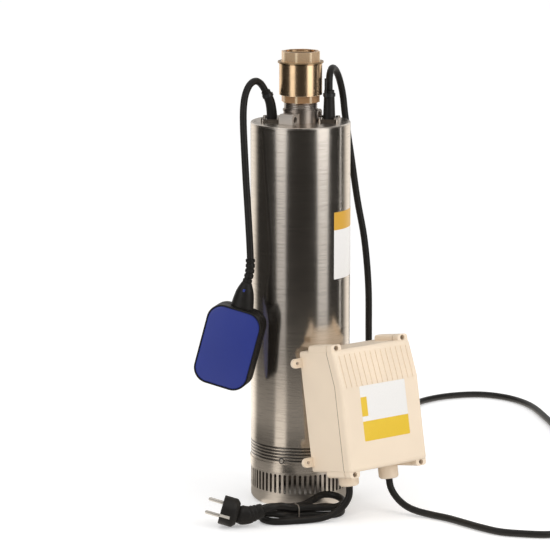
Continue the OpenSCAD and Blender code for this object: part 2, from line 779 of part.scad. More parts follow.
// A slab parallel to the bent front of the box, between two depths
module box_slab(from, to, inset) {
    intersection() {
        rotate([90, 0, 0]) linear_extrude(lid_front + 10) box_outline(inset);
        rotate([90, 0, 90]) linear_extrude(box_w + 2, center = true)
            polygon([[-from, -box_h], [-to, -box_h], [-to, -slope_h], [slope_in - to, 0],
                [slope_in - from, 0], [-from, -slope_h]]);
    }
}

// All that lies behind a front of the box at one depth
module box_behind(depth) {
    rotate([90, 0, 90]) linear_extrude(box_w + 40, center = true)
        polygon([[10, -box_h - 20], [-depth, -box_h - 20], [-depth, -slope_h], [slope_in - depth, 0],
            [slope_in - depth, 20], [10, 20]]);
}

// Places a child at the four lid screws, with the depth of the box front there
module at_bosses(upper) {
    for (side = [-1, 1]) translate([side * boss_x, upper ? slope_in - box_d : -box_d, upper ? 0 : -box_h])
        mirror([0, 0, upper ? 0 : 1]) children();
}

// A screw boss from its local y = 0 forwards
module boss(depth) {
    translate([0, 0, (boss_out - boss_in) / 2]) rotate([90, 0, 0]) linear_extrude(depth)
        rounded_rect(boss_w, boss_out + boss_in, 4);
}

module at_ears() {
    for (side = [-1, 1]) for (z = [-ear_z, ear_z - box_h])
        translate([side * box_w / 2, 0, z]) mirror([side < 0 ? 1 : 0, 0, 0]) rotate([90, 0, 0]) children();
}

module at_glands() {
    for (side = [-1, 1]) translate([side * (box_w / 2 - gland_in), -gland_y, -box_h]) children();
}

module box_base() color(cream_plastic) on_box() difference() {
    union() {
        difference() {
            intersection() {
                rotate([90, 0, 0]) linear_extrude(lid_front) box_outline(0);
                rotate([90, 0, 90]) linear_extrude(box_w + 2, center = true)
                    polygon([[0, -box_h], [-box_d, -box_h], [-box_d, -slope_h], [slope_in - box_d, 0], [0, 0]]);
            }
            translate([-box_w / 2 + box_wall, -box_d - 5, -box_h + box_wall])
                cube([box_w - 2 * box_wall, box_d + 5 - box_wall, box_h - 2 * box_wall]);
        }
        for (upper = [true, false]) at_bosses(upper) translate([0, 36, 0]) boss(36);
        at_ears() {
            translate([-1, -ear_h / 2, 0]) cube([ear_len - ear_h / 2 + 1, ear_h, ear_t]);
            translate([ear_len - ear_h / 2, 0, 0]) cylinder(r = ear_h / 2, h = ear_t);
        }
    }
    at_ears() translate([ear_len / 2, 0, -1]) cylinder(r = ear_hole_r, h = ear_t + 2);
    at_glands() translate([0, 0, -1]) cylinder(r = 10, h = box_wall + 2);
    for (upper = [true, false]) at_bosses(upper) translate([0, 16, boss_screw])
        rotate([90, 0, 0]) cylinder(r = 2, h = 17);
}

module box_gasket() color(rubber) on_box() difference() {
    box_slab(box_d, box_d + gasket_t, 0);
    translate([-box_w / 2 + box_wall, -lid_front, -box_h + box_wall])
        cube([box_w - 2 * box_wall, lid_front, box_h - 2 * box_wall]);
}

module box_lid() color(cream_plastic) on_box() difference() {
    union() {
        hull() for (a = [0 : 30 : 90])
            box_slab(box_d + gasket_t, lid_front - lid_round * (1 - sin(a)), lid_round * (1 - cos(a)), $fn = 32);
        for (upper = [true, false]) at_bosses(upper) translate([0, -gasket_t, 0]) boss(lid_d - 3);
        for (i = [0 : rib_count - 1])
            translate([(i / (rib_count - 1) - 0.5) * (box_w - 18), -lid_front, -slope_h])
            rotate([-atan(slope_in / slope_h), 0, 0]) translate([-0.8, -1.1, -2]) cube([1.6, 2, slope_h - 4]);
    }
    box_slab(box_d - 5, lid_front - box_wall, box_wall);
    box_behind(box_d + gasket_t);
    for (upper = [true, false]) at_bosses(upper) translate([0, 0, boss_screw]) rotate([90, 0, 0]) {
        cylinder(r = 2, h = lid_d + 5);
        translate([0, 0, gasket_t + 3]) cylinder(r = 3.4, h = lid_d + 5);
    }
}

module lid_screws() color(dark_steel) on_box()
    for (upper = [true, false]) at_bosses(upper) translate([0, 0, boss_screw]) rotate([90, 0, 0]) difference() {
        union() {
            translate([0, 0, -14]) cylinder(r = 1.9, h = 14 + gasket_t + 3);
            translate([0, 0, gasket_t + 3]) cylinder(r = 3.2, h = 3);
        }
        translate([0, 0, gasket_t + 4.5]) cylinder(r = 1.5, h = 3, $fn = 6);
    }

module gland_bodies() color(cream_plastic) on_box() at_glands() {
    translate([0, 0, -gland_flange_h]) tube(gland_r, cable_r + gap, gland_flange_h);
    translate([0, 0, -1]) tube(10 - fit, cable_r + gap, box_wall + 7);
    translate([0, 0, box_wall]) difference() {
        cylinder(r = 13.5, h = 4, $fn = 6);
        translate([0, 0, -1]) cylinder(r = 9, h = 6);
    }
}

module gland_nuts() color(cream_plastic) on_box() at_glands() mirror([0, 0, 1])
    translate([0, 0, gland_flange_h]) rotate_extrude() difference() {
        union() {
            turned(0, gland_r + 0.4, 0, gland_nut_h - 4);
            turned(0, gland_r - 3.6, 0, gland_nut_h);
            translate([gland_r - 3.6, gland_nut_h - 4]) circle(4);
        }
        turned(-1, cable_r + gap, -1, gland_nut_h + 1);
        turned(-1, gland_r + 5, -6, 0);
    }

module run_capacitor() color(white_plastic) on_box()
    translate([capacitor_x, -box_wall - capacitor_r - gap, capacitor_z - box_h])
    cylinder(r = capacitor_r, h = capacitor_len);

module terminal_block() color(grey_plastic) on_box()
    translate([terminal_x, -box_wall - terminal_size[1], terminal_z - box_h]) cube(terminal_size);

module float_cable() color(rubber) sweep(smooth(float_route, 2), cable_r, cable_r, 8);

module pump_cable_drop() color(rubber) sweep(smooth(drop_route, 2), cable_r, cable_r, 8);

module pump_cable_return() color(rubber) sweep(smooth(return_route, 2), cable_r, cable_r, 8);

// Places a child under the coil's cable ties: local x across the coil, z up from the floor
module at_coil_ties() {
    for (turn = tie_turns) translate(coil_pos) rotate([0, 0, turn]) translate([coil_r, 0, 0]) children();
}

module pump_cable_coil() color(rubber) difference() {
    translate(coil_pos) tube(coil_r + coil_w / 2, coil_r - coil_w / 2, coil_w);
    at_coil_ties() translate([-coil_w, -tie_w / 2 - fit, -1]) cube([2 * coil_w, tie_w + 2 * fit, tie_t + 1]);
}

module mains_cord() color(rubber) sweep(smooth(mains_route, 2), cable_r, cable_r, 8);

module mains_hank() color(rubber) {
    translate(hank_pos) rotate([0, 0, hank_turn]) linear_extrude(hank_h) {
        square([hank_len, 2 * hank_r], center = true);
        for (side = [-1, 1]) translate([side * hank_len / 2, 0]) circle(hank_r);
    }
    sweep(smooth(plug_lead_route, 2), cable_r, cable_r, 8);
}

// Places a child in the plug: local x along its pins
module in_plug() {
    translate(plug_pos) rotate(plug_turn) children();
}

// Places a child at the front of both flat sides of the plug that carry an earth strip
module at_earth_sides() {
    for (side = [0, 1]) mirror([0, side, 0])
        translate([plug_len / 2 - earth_slot[0], plug_r - 1.5, 0]) children();
}

module plug_body() color(rubber) {
    in_plug() difference() {
        rotate([0, 90, 0]) {
            translate([0, 0, plug_bevel - plug_len / 2]) cylinder(r = plug_r, h = plug_len - plug_bevel);
            translate([0, 0, -plug_len / 2]) cylinder(r1 = plug_r - plug_bevel, r2 = plug_r, h = plug_bevel);
        }
        at_earth_sides() translate([0, 0, -earth_slot[2] / 2]) cube(earth_slot + [1, 0, 0]);
    }
    sweep(smooth(plug_neck_route, 3), plug_neck_r, plug_neck_end_r, 24);
}

module plug_contacts() color(steel) in_plug() {
    for (z = [-1, 1]) translate([plug_len / 2, 0, z * pin_gap / 2]) rotate([0, 90, 0]) {
        cylinder(r = pin_r, h = pin_len - 1.5);
        translate([0, 0, pin_len - 1.5]) cylinder(r1 = pin_r, r2 = pin_r - 1, h = 1.5);
    }
    at_earth_sides() translate([0, 0, -earth_strip[2] / 2]) cube(earth_strip);
}

module cord_ties() color(rubber) {
    at_coil_ties() rotate([90, 0, 0]) linear_extrude(tie_w, center = true) difference() {
        translate([-coil_w / 2 - tie_t, 0]) square([coil_w + 2 * tie_t, coil_w + tie_t]);
        translate([-coil_w / 2, tie_t]) square([coil_w, coil_w - tie_t]);
    }
    translate(hank_pos) rotate([0, 0, hank_turn]) translate([hank_tie_x, 0, 0])
        rotate([90, 0, 90]) linear_extrude(tie_w, center = true) difference() {
            translate([-hank_r - tie_t, 0]) square([2 * (hank_r + tie_t), hank_h + tie_t]);
            translate([-hank_r, -1]) square([2 * hank_r, hank_h + 1]);
        }
}

suction_strainer();
strainer_screws();
suction_ring();
outer_jacket();
casing_o_rings();
top_cover();
outlet_neck();
float_cable_boot();
power_cable_boot();
boot_clamps();
clamp_screws();
boot_ties();
valve_end();
valve_body();
valve_guide();
valve_poppet();
valve_seal();
valve_spring();
inlet_plate();
stage_bowls();
impellers();
diffusers();
shaft_nut();
shaft();
seal_rings();
seal_seats();
seal_housing();
lower_bracket();
lower_bearing();
upper_bearing();
motor_can();
stator_core();
stator_windings();
rotor_core();
motor_top_cap();
float_band();
float_front_shell();
float_back_shell();
float_boot();
switch_capsule();
switch_ball();
box_base();
box_gasket();
box_lid();
lid_screws();
gland_bodies();
gland_nuts();
run_capacitor();
terminal_block();
float_cable();
pump_cable_drop();
pump_cable_return();
pump_cable_coil();
mains_cord();
mains_hank();
plug_body();
plug_contacts();
cord_ties();
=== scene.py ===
import json
import math

import bmesh
import bpy
import numpy as np
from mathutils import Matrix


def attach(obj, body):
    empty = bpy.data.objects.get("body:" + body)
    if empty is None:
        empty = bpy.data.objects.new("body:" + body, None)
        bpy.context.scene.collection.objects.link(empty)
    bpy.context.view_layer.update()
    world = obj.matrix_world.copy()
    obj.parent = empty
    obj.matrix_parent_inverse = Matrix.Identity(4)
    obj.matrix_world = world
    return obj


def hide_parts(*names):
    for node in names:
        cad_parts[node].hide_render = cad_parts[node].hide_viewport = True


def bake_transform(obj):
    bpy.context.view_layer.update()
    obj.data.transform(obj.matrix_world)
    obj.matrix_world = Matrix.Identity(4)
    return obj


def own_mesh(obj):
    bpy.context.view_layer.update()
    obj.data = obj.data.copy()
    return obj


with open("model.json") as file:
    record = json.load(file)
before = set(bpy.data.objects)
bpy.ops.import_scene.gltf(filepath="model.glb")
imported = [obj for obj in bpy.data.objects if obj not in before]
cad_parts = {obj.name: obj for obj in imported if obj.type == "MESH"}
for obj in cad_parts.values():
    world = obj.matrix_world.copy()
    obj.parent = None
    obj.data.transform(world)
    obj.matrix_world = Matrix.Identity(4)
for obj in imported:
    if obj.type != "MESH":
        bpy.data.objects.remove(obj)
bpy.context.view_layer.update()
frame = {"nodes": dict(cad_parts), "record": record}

bl_info = {
    "name": "Borehole pump",
    "version": (1, 0, 0),
    "blender": (4, 5, 0),
    "location": "View3D > Sidebar > Pump",
    "description": "Dresses the borehole pump with its cords, float, labels and finishes",
    "category": "Object",
}

MM = 0.001
FULL_TURN = 2 * math.pi

# Routes of the cords in millimetres, as the part's source has them
FLOAT_ROUTE = [
    (-44.9, -2.5, 533.6), (-50.5, -5.5, 543), (-57, -12, 547.5), (-64, -20.5, 544.5),
    (-69.5, -28.5, 534), (-72.2, -34.5, 518), (-72.5, -39, 496), (-71, -44, 462),
    (-69, -49, 425), (-66.5, -54.5, 385), (-64.5, -59, 350), (-63.6, -61, 330), (-63.5, -61, 319.2),
]
DROP_ROUTE = [
    (36.5, 0, 534.5), (36.5, 1.5, 546), (37.6, 8, 556), (40.5, 19, 560.5), (45, 31, 556),
    (50, 41, 543), (54.5, 47.5, 522), (58, 50.5, 492), (66, 52, 439), (74, 53, 384),
    (83.5, 54, 331), (89, 57, 270), (90, 66, 205), (91, 82, 145), (93, 106, 88),
    (97, 140, 38), (103, 182, 10), (110, 230, 4.5), (124, 320, 4.5), (144, 430, 4.5),
    (160, 490, 4.5), (182, 530, 4.5), (220, 560, 4.5), (267, 570, 4.5), (308, 547, 4.5),
    (336, 500, 4.5), (352, 430, 4.5), (364, 350, 4.5), (371, 250, 4.5), (372.5, 150, 4.5),
]
RETURN_ROUTE = [
    (372.5, 0, 27), (371, -60, 17), (365, -115, 8), (352, -160, 4.5),
    (334, -189, 4.5), (309, -200, 4.5), (279, -197, 4.5), (250, -188, 4.5), (227, -168, 4.5),
    (208, -147, 4.5), (188, -125, 4.5), (166, -107, 4.6), (148, -97.5, 7), (135, -90, 11.5),
    (124, -83, 20), (116.5, -77.5, 31.5), (113.9, -74.5, 43.7),
]
MAINS_ROUTE = [
    (62.7, -114.5, 43.7), (62, -117.5, 31), (55, -120.5, 19), (43, -124.5, 10.5),
    (28, -129.5, 6), (10, -134.5, 4.6), (-8, -139, 4.5),
]
# The mains cord's hank, in its own frame: along it, across it and up
HANK_CENTRE = (2, -104, 0)
HANK_TURN = 23.6
HANK_ROUTE = [
    (-37, -25.5, 4.5), (-49, -20, 4.5), (-55.5, -7, 4.5), (-51, 7.5, 4.5), (-38, 15.5, 4.5),
    (-22, 10, 4.5), (-8, 4.8, 4.5), (8, 9.5, 4.5), (24, 18, 4.5), (38, 21, 4.5),
    (50, 14, 4.5), (55, 1, 4.5), (50, -12, 4.5), (38, -20, 4.5), (23, -17, 4.5),
    (8, -9, 4.5), (-8, -4.8, 4.5), (-22, -10, 7), (-35, -17, 11), (-48, -13.5, 13.6),
    (-54, -1, 13.6), (-48, 11.5, 13.6), (-35, 16, 13.6), (-21, 9.5, 13.6), (-8, 4.8, 13.6),
    (8, 9, 13.8), (23, 17, 16), (38, 21.5, 20), (51, 14.5, 20), (56.5, 1, 17.5),
    (51, -12.5, 15.2), (38, -19.5, 14.2), (23, -15.5, 13.7), (8, -8, 13.6), (-8, -4.8, 13.6),
    (-21, -8.5, 17), (-33, -17, 22), (-43, -23, 24.5), (-53, -25.2, 24.5), (-62.6, -23.4, 22),
    (-65, -22.8, 21.2),
]
# The mains plug: its middle, its turns about the three axes and the middle line of its neck
PLUG_MIDDLE = (-88.5, -151, 19.7)
PLUG_TURN = (-10.6, -15.8, 177.3)
PLUG_NECK = [(-84, -151.2, 18.4), (-75, -151.6, 15.8), (-66, -151.6, 15.6), (-56, -151.2, 18.6),
             (-46, -150.5, 22)]
# Turns of the stored coil: the slot of each turn across the coil, layer by layer
COIL_LAYERS = [(0, 1, 2, 3), (3, 2, 1, 0), (0, 1, 2, 3), (2, 1, 0)]
COIL_CENTRE = (467, 60)
COIL_TIE_TURNS = (20, 110, 270)
# Steps of each softbox: lower edge, upper edge, width and share of the full glow
SOFTBOX_STEPS = [(0.01, 0.10, 0.32, 0.4), (0.10, 0.19, 0.32, 0.48), (0.19, 0.28, 0.34, 0.54),
                 (0.28, 0.36, 0.36, 0.66), (0.36, 0.42, 0.4, 1.1), (0.42, 1.3, 0.42, 1.25)]
# The two softboxes: degrees from straight ahead, and shares of the steps' width and glow
SOFTBOXES = [(-44, 1.2, 0.74), (52, 1.4, 0.94)]
# The narrow edge lamp: degrees from straight ahead, lower and upper edge, width and share of the glow
EDGE_LAMP = (103, 0.01, 1.3, 0.05, 0.95)
# Distance of all lamps from the pump's axis in metres
LAMP_REACH = 1.0
# Place of the camera in metres and its turn to the side in degrees
CAMERA_PLACE = (0, -4.0, 1.0645)
CAMERA_PAN = 0.4686
# The floor's half side, and how far it lies below the part, in metres
FLOOR_REACH = 12.0
FLOOR_DROP = 0.0003
# Middle of the hanging float, in millimetres
FLOAT_MIDDLE = (-89.4, -61.0, 214.0)
# The control box: degrees round the pump and of its lean, then its reach, height and shift in millimetres
BOX_SIDE = 38
BOX_LEAN = -10.5
BOX_REACH = 64.3
BOX_HEIGHT = 210.8
BOX_SHIFT = 11.4
# Heights of the valve's turned barrel, and the radius past which the neck is rope lug, in metres
BARREL = (0.5295, 0.5705)
LUG_FROM = 0.0232
# Pitch of the pipe threads in millimetres
PIPE_PITCH = 2.309
# The ring's screws: degrees round the pump and height in millimetres
SCREW_TURNS = (248, 8, 128)
SCREW_HEIGHT = 62


def length_setting(name, description, default):
    return bpy.props.FloatProperty(name=name, description=description, default=default, unit="LENGTH")


def angle_setting(name, description, degrees):
    return bpy.props.FloatProperty(
        name=name, description=description, default=math.radians(degrees), subtype="ANGLE")


def colour_setting(name, description, default):
    return bpy.props.FloatVectorProperty(
        name=name, description=description, default=default, subtype="COLOR")


class PumpCordSettings(bpy.types.PropertyGroup):
    """Sizes of the cords"""

    cable_diameter: length_setting("Cable diameter", "Outer diameter of the rubber cables", 0.009)
    coil_radius: length_setting("Coil radius", "Radius of the outermost turn of the stored coil", 0.0945)
    points_per_turn: bpy.props.IntProperty(
        name="Points per turn", description="Points on each turn of the stored coil", default=16)


class PumpFloatSettings(bpy.types.PropertyGroup):
    """Sizes of the float switch"""

    width: length_setting("Width", "Width of the float", 0.072)
    height: length_setting("Height", "Length of the float", 0.104)
    thickness: length_setting("Thickness", "Thickness of the rubber band", 0.036)
    tilt: angle_setting("Tilt", "Lean of the hanging float", 14.7)
    turn: angle_setting("Turn", "Turn of the float about its own length", -12)


class PumpFinishSettings(bpy.types.PropertyGroup):
    """Colours of the finishes"""

    steel: colour_setting("Steel", "Brushed stainless steel", (0.70, 0.635, 0.565))
    brass: colour_setting("Brass", "Turned and cast brass", (0.82, 0.575, 0.35))
    rubber: colour_setting("Rubber", "Black rubber of cables and boots", (0.012, 0.0105, 0.009))
    cream: colour_setting("Cream", "Moulded control box", (0.85, 0.707, 0.545))
    blue: colour_setting("Blue", "Moulded panels of the float", (0.019, 0.034, 0.225))
    label_yellow: colour_setting("Label yellow", "Yellow field of the lid's label", (0.80, 0.53, 0.03))
    label_amber: colour_setting("Label amber", "Amber field of the jacket's label", (0.66, 0.36, 0.035))


class PumpStageSettings(bpy.types.PropertyGroup):
    """Camera and light of the stage"""

    lens: bpy.props.FloatProperty(
        name="Lens", description="Focal length of the camera in millimetres", default=206.7)
    pitch: angle_setting("Pitch", "How far the camera looks down", 10.9)
    softbox_glow: bpy.props.FloatProperty(
        name="Softbox glow", description="Brightness of the softboxes, where 1 is white", default=1.7)


def maths_operator(operation, swapped=False):
    """A method of Value that adds one Math node; swapped puts the other value first"""
    def method(self, other):
        first, second = (other, self) if swapped else (self, other)
        return self.maths(operation, first, second)
    return method


class Value:
    """A socket that takes part in Python expressions: each operator adds one Math node."""

    __add__ = maths_operator("ADD")
    __radd__ = maths_operator("ADD", True)
    __sub__ = maths_operator("SUBTRACT")
    __rsub__ = maths_operator("SUBTRACT", True)
    __mul__ = maths_operator("MULTIPLY")
    __rmul__ = maths_operator("MULTIPLY", True)
    __truediv__ = maths_operator("DIVIDE")

    def __init__(self, kit, socket):
        self.kit = kit
        self.socket = socket

    def maths(self, operation, first, second):
        return self.kit.add("ShaderNodeMath", {"operation": operation}, {0: first, 1: second})

    def between(self, low, high):
        """1 inside the two bounds and 0 outside"""
        return self.maths("GREATER_THAN", self, low) * self.maths("LESS_THAN", self, high)

    def ramp(self, low, high):
        """A smooth step from 0 at low to 1 at high"""
        return self.kit.add("ShaderNodeMapRange", {"interpolation_type": "SMOOTHSTEP"},
                            {0: self, 1: low, 2: high, 3: 0.0, 4: 1.0})


class NodeKit:
    """Adds nodes to one node tree and links them."""

    def __init__(self, tree, material=None):
        self.tree = tree
        self.material = material
        tree.nodes.clear()

    def add(self, kind, settings=None, sockets=None, output=0):
        """One node of a type, with its settings and then the values or links of its sockets"""
        node = self.tree.nodes.new(kind)
        for name, setting in (settings or {}).items():
            setattr(node, name, setting)
        for name, value in (sockets or {}).items():
            if isinstance(value, Value):
                self.tree.links.new(value.socket, node.inputs[name])
            else:
                node.inputs[name].default_value = value
        return Value(self, node.outputs[output]) if len(node.outputs) else node

    def mix(self, factor, first, second):
        """A colour between two colours"""
        first = first if isinstance(first, Value) else (*first, 1.0)
        second = second if isinstance(second, Value) else (*second, 1.0)
        return self.add("ShaderNodeMix", {"data_type": "RGBA"}, {0: factor, 6: first, 7: second}, 2)

    def position(self):
        return self.add("ShaderNodeTexCoord", output="Object")

    def axes(self, vector):
        """The three parts of a vector"""
        first = self.add("ShaderNodeSeparateXYZ", None, {0: vector})
        outputs = first.socket.node.outputs
        return [Value(self, outputs[i]) for i in range(3)]

    def vector(self, operation, first, second, output=0):
        sockets = {0: first, 1: second}
        return self.add("ShaderNodeVectorMath", {"operation": operation}, sockets, output)

    def length(self, vector):
        return self.add("ShaderNodeVectorMath", {"operation": "LENGTH"}, {0: vector}, "Value")

    def from_axis(self, vector):
        """The distance of a place from the pump's axis"""
        return self.length(self.vector("MULTIPLY", vector, (1.0, 1.0, 0.0)))

    def along(self, vector, origin, direction):
        """Distance of a point along a direction from an origin"""
        moved = self.vector("SUBTRACT", vector, origin)
        return self.vector("DOT_PRODUCT", moved, direction, "Value")

    def ray_kinds(self):
        """Whether a ray comes from the camera, and whether polished metal mirrored it"""
        paths = self.add("ShaderNodeLightPath").socket.node.outputs
        return Value(self, paths["Is Camera Ray"]), Value(self, paths["Is Glossy Ray"])

    def noise(self, vector, scale, detail=2.0, roughness=0.5):
        return self.add("ShaderNodeTexNoise", None,
                        {"Vector": vector, "Scale": scale, "Detail": detail, "Roughness": roughness})

    def streaks(self, vector, scale, detail=2.0, roughness=0.5):
        """Noise with a scale of its own along each axis"""
        return self.noise(self.vector("MULTIPLY", vector, scale), 1.0, detail, roughness)

    def bump(self, height, strength, distance):
        sockets = {"Height": height, "Strength": strength, "Distance": distance}
        return self.add("ShaderNodeBump", None, sockets)


def new_finish(name):
    material = bpy.data.materials.new(name)
    material.use_nodes = True
    kit = NodeKit(material.node_tree, material)
    return kit, kit.position()


def close_finish(kit, **sockets):
    """The Principled surface of a finish; underscores in the names stand for blanks"""
    surface = kit.add("ShaderNodeBsdfPrincipled", None,
                      {name.replace("_", " "): value for name, value in sockets.items()})
    kit.add("ShaderNodeOutputMaterial", None, {"Surface": surface})


def shade(colour, factor):
    return tuple(min(1.0, part * factor) for part in colour)


def brushed_steel(name, colour, roughness, inside=0.0, floor=0.0):
    """Sheet steel brushed round the pump: noise drawn out round the axis and fine along it, with dark
    scores. It is left dark nearer the axis than the inside radius, above the height of its floor: painted
    shade inside the strainer's slots and the ring's grooves"""
    kit, place = new_finish(name)
    # Painted shade: the colour falls to a fifth inside, nearer the axis than the inside radius
    inner = 1 - kit.from_axis(place).ramp(inside - 0.0009, inside)
    unlit = inner * kit.axes(place)[2].ramp(floor, floor + 0.003)
    lines = kit.streaks(place, (6.0, 6.0, 1900.0), 4.0, 0.65)
    scores = kit.streaks(place, (45.0, 45.0, 850.0), 2.0, 0.6)
    clouds = kit.noise(place, 14.0, 3.0)
    specks = kit.noise(place, 900.0, 1.0)
    tint = kit.mix(lines.ramp(0.25, 0.75), shade(colour, 0.92), shade(colour, 1.06))
    tint = kit.mix(clouds.ramp(0.35, 0.8) * 0.35, tint, shade(colour, 0.9))
    tint = kit.mix(scores.ramp(0.45, 0.75) * 0.5, tint, shade(colour, 0.66))
    close_finish(kit, Metallic=1.0,
                 Base_Color=kit.mix(unlit, tint, shade(colour, 0.2)),
                 Roughness=roughness + (lines - 0.5) * 0.16 + (clouds - 0.5) * 0.10 + (specks - 0.5) * 0.04,
                 Normal=kit.bump(lines, 0.05, 0.00012))
    return kit.material


def machined_steel(name, colour, roughness, ground_from=1.0):
    """Turned steel with fine tool rings along its height, ground bright beyond a radius from the axis"""
    kit, place = new_finish(name)
    rings = kit.streaks(place, (60.0, 60.0, 2400.0))
    clouds = kit.noise(place, 55.0, 3.0)
    ground = kit.from_axis(place).ramp(ground_from, ground_from + 0.0008)
    turned = kit.mix(clouds, shade(colour, 0.8), shade(colour, 1.1))
    close_finish(kit, Metallic=1 - ground * 0.1,
                 Base_Color=kit.mix(ground, turned, (0.68, 0.625, 0.57)),
                 Roughness=roughness + (rings - 0.5) * 0.15 + (clouds - 0.5) * 0.15,
                 Normal=kit.bump(rings, 0.06, 0.0002))
    return kit.material


def cast_metal(name, colour):
    """Cast grey metal with a pitted skin"""
    kit, place = new_finish(name)
    pits = kit.noise(place, 900.0, 4.0, 0.7)
    clouds = kit.noise(place, 40.0, 2.0)
    close_finish(kit, Metallic=0.8,
                 Base_Color=kit.mix(clouds, shade(colour, 0.7), shade(colour, 1.1)),
                 Roughness=0.5 + (pits - 0.5) * 0.3,
                 Normal=kit.bump(pits, 0.4, 0.0004))
    return kit.material


def brass_finish(name):
    """Brass: a bright turned barrel and a turned bore, and sand-cast octagons above and below the barrel,
    redder below and with a painted highlight at their corners; the barrel's upper lip is painted dark as
    shade"""
    colour = tuple(bpy.context.scene.pump_finishes.brass)
    barrel_low, barrel_high = BARREL
    kit, place = new_finish(name)
    z = kit.axes(place)[2]
    from_axis = kit.from_axis(place)
    past_bore = from_axis.ramp(0.0212, 0.0216)
    at_corners = from_axis.ramp(0.0241, 0.0249)
    at_rim = from_axis.ramp(0.0253, 0.0259)
    turned = 1 - (1 - z.between(barrel_low, barrel_high)) * past_bore
    below = z.between(0.0, barrel_low)
    # Painted shade: the barrel's upper lip, under the octagon, is painted dark brown
    lip = z.ramp(barrel_high - 0.0022, barrel_high - 0.0012) * at_rim
    # Painted highlight: the octagons' corners are painted pale, less metallic and smoother
    corner_highlight = at_corners * (1 - turned) * (1 - lip)
    sand = kit.noise(place, 620.0, 4.0, 0.7)
    rings = kit.streaks(place, (40.0, 40.0, 2600.0))
    stain = kit.noise(place, 60.0, 3.0)
    height = turned * rings * 0.45 + (1 - turned) * sand
    cast = kit.mix(sand.ramp(0.3, 0.75), shade(colour, 0.92), shade(colour, 1.1))
    cast = kit.mix(below * 0.8, cast, (0.62, 0.33, 0.15))
    # Painted highlight at the octagons' corners
    cast = kit.mix(corner_highlight, cast, (0.99, 0.78, 0.52))
    bright = kit.mix(stain.ramp(0.45, 0.8), colour, shade(colour, 0.82))
    # The lip's painted shade over the brass
    brass = kit.mix(lip * 0.75, kit.mix(turned, cast, bright), (0.19, 0.12, 0.055))
    close_finish(kit, Metallic=0.68 + turned * 0.32 - corner_highlight * 0.28,
                 Base_Color=brass,
                 Roughness=turned * (0.19 + rings * 0.1) + (1 - turned) * (0.27 + sand * 0.1 - corner_highlight * 0.12),
                 Normal=kit.bump(height, 0.1, 0.0003))
    return kit.material


def copper_finish(name):
    """Varnished copper wire, wound in close turns"""
    kit, place = new_finish(name)
    wires = kit.streaks(place, (300.0, 300.0, 1800.0))
    close_finish(kit, Metallic=0.9, Coat_Weight=0.6,
                 Base_Color=kit.mix(wires, (0.30, 0.11, 0.05), (0.62, 0.30, 0.14)),
                 Roughness=0.3 + wires * 0.2,
                 Normal=kit.bump(wires, 0.5, 0.0006))
    return kit.material


def rubber_finish(name, grain, paler=1.0):
    """Black rubber: a dull bloom in clouds and a fine grained skin"""
    colour = shade(bpy.context.scene.pump_finishes.rubber, paler)
    kit, place = new_finish(name)
    skin = kit.noise(place, grain, 3.0, 0.6)
    bloom = kit.noise(place, 45.0, 4.0, 0.6)
    scuffs = kit.streaks(place, (120.0, 120.0, 900.0))
    dusty = kit.mix(bloom.ramp(0.45, 0.8) * 0.5, colour, shade(colour, 2.0))
    close_finish(kit,
                 Base_Color=kit.mix(scuffs.ramp(0.62, 0.8) * 0.4, dusty, shade(colour, 2.8)),
                 Specular_IOR_Level=0.35,
                 Roughness=0.36 + bloom * 0.16 + skin * 0.08,
                 Normal=kit.bump(skin, 0.16, 0.0003))
    return kit.material


def moulded_plastic(name, colour, roughness, grain, strength, shine=0.5):
    """Moulded plastic: an even colour that drifts a little, and a fine spark-eroded grain"""
    kit, place = new_finish(name)
    skin = kit.noise(place, grain, 2.0)
    drift = kit.noise(place, 11.0, 3.0)
    smears = kit.streaks(place, (30.0, 30.0, 8.0), 4.0, 0.6)
    close_finish(kit,
                 Base_Color=kit.mix(drift.ramp(0.3, 0.7), shade(colour, 0.955), shade(colour, 1.03)),
                 Specular_IOR_Level=shine,
                 Roughness=roughness + (smears - 0.5) * 0.14 + (skin - 0.5) * 0.1,
                 Normal=kit.bump(skin, strength, 0.0002))
    return kit.material


def nickel_finish(name):
    """Plated contact with fine drawing lines"""
    kit, place = new_finish(name)
    lines = kit.streaks(place, (500.0, 500.0, 3000.0))
    close_finish(kit, Metallic=0.6,
                 Base_Color=kit.mix(lines, (0.72, 0.67, 0.60), (0.88, 0.84, 0.78)),
                 Roughness=0.16 + lines * 0.16,
                 Normal=kit.bump(lines, 0.05, 0.0002))
    return kit.material


def label_paper(kit, place, fields):
    """A blank label: white paper with coloured fields, each given as a mask and a colour"""
    fibres = kit.noise(place, 700.0, 3.0)
    colour = kit.mix(fibres, (0.79, 0.77, 0.745), (0.86, 0.84, 0.815))
    for mask, tint in fields:
        colour = kit.mix(mask, colour, kit.mix(fibres, shade(tint, 0.94), shade(tint, 1.04)))
    close_finish(kit, Base_Color=colour,
                 Roughness=0.32 + fibres * 0.12,
                 Normal=kit.bump(fibres, 0.05, 0.0001))


def lid_label_finish(name, yellow, origin, across, up, size):
    """Blank label of the lid: a yellow field below, and a yellow tab at the left"""
    kit, place = new_finish(name)
    u = kit.along(place, origin, across) / size[0]
    v = kit.along(place, origin, up) / size[1]
    field = v.between(-0.1, 0.36)
    tab = u.between(0.0, 0.13) * v.between(0.45, 0.80)
    label_paper(kit, place, [(field, yellow), (tab, yellow)])
    return kit.material


def jacket_label_finish(name, amber, split):
    """Blank label of the jacket: amber above a height and white below it"""
    kit, place = new_finish(name)
    z = kit.axes(place)[2]
    label_paper(kit, place, [(z.ramp(split - 0.0002, split + 0.0002), amber)])
    return kit.material


def grid_faces(rows, columns, wrap_rows, wrap_columns):
    """Quads between neighbours on a grid of points; a wrapped side joins its last line to its first"""
    row = np.arange(rows if wrap_rows else rows - 1)
    column = np.arange(columns if wrap_columns else columns - 1)
    row, column = np.meshgrid(row, column, indexing="ij")
    next_row = (row + 1) % rows
    next_column = (column + 1) % columns
    corners = [row * columns + column, next_row * columns + column,
               next_row * columns + next_column, row * columns + next_column]
    return np.stack(corners, -1).reshape(-1, 4)


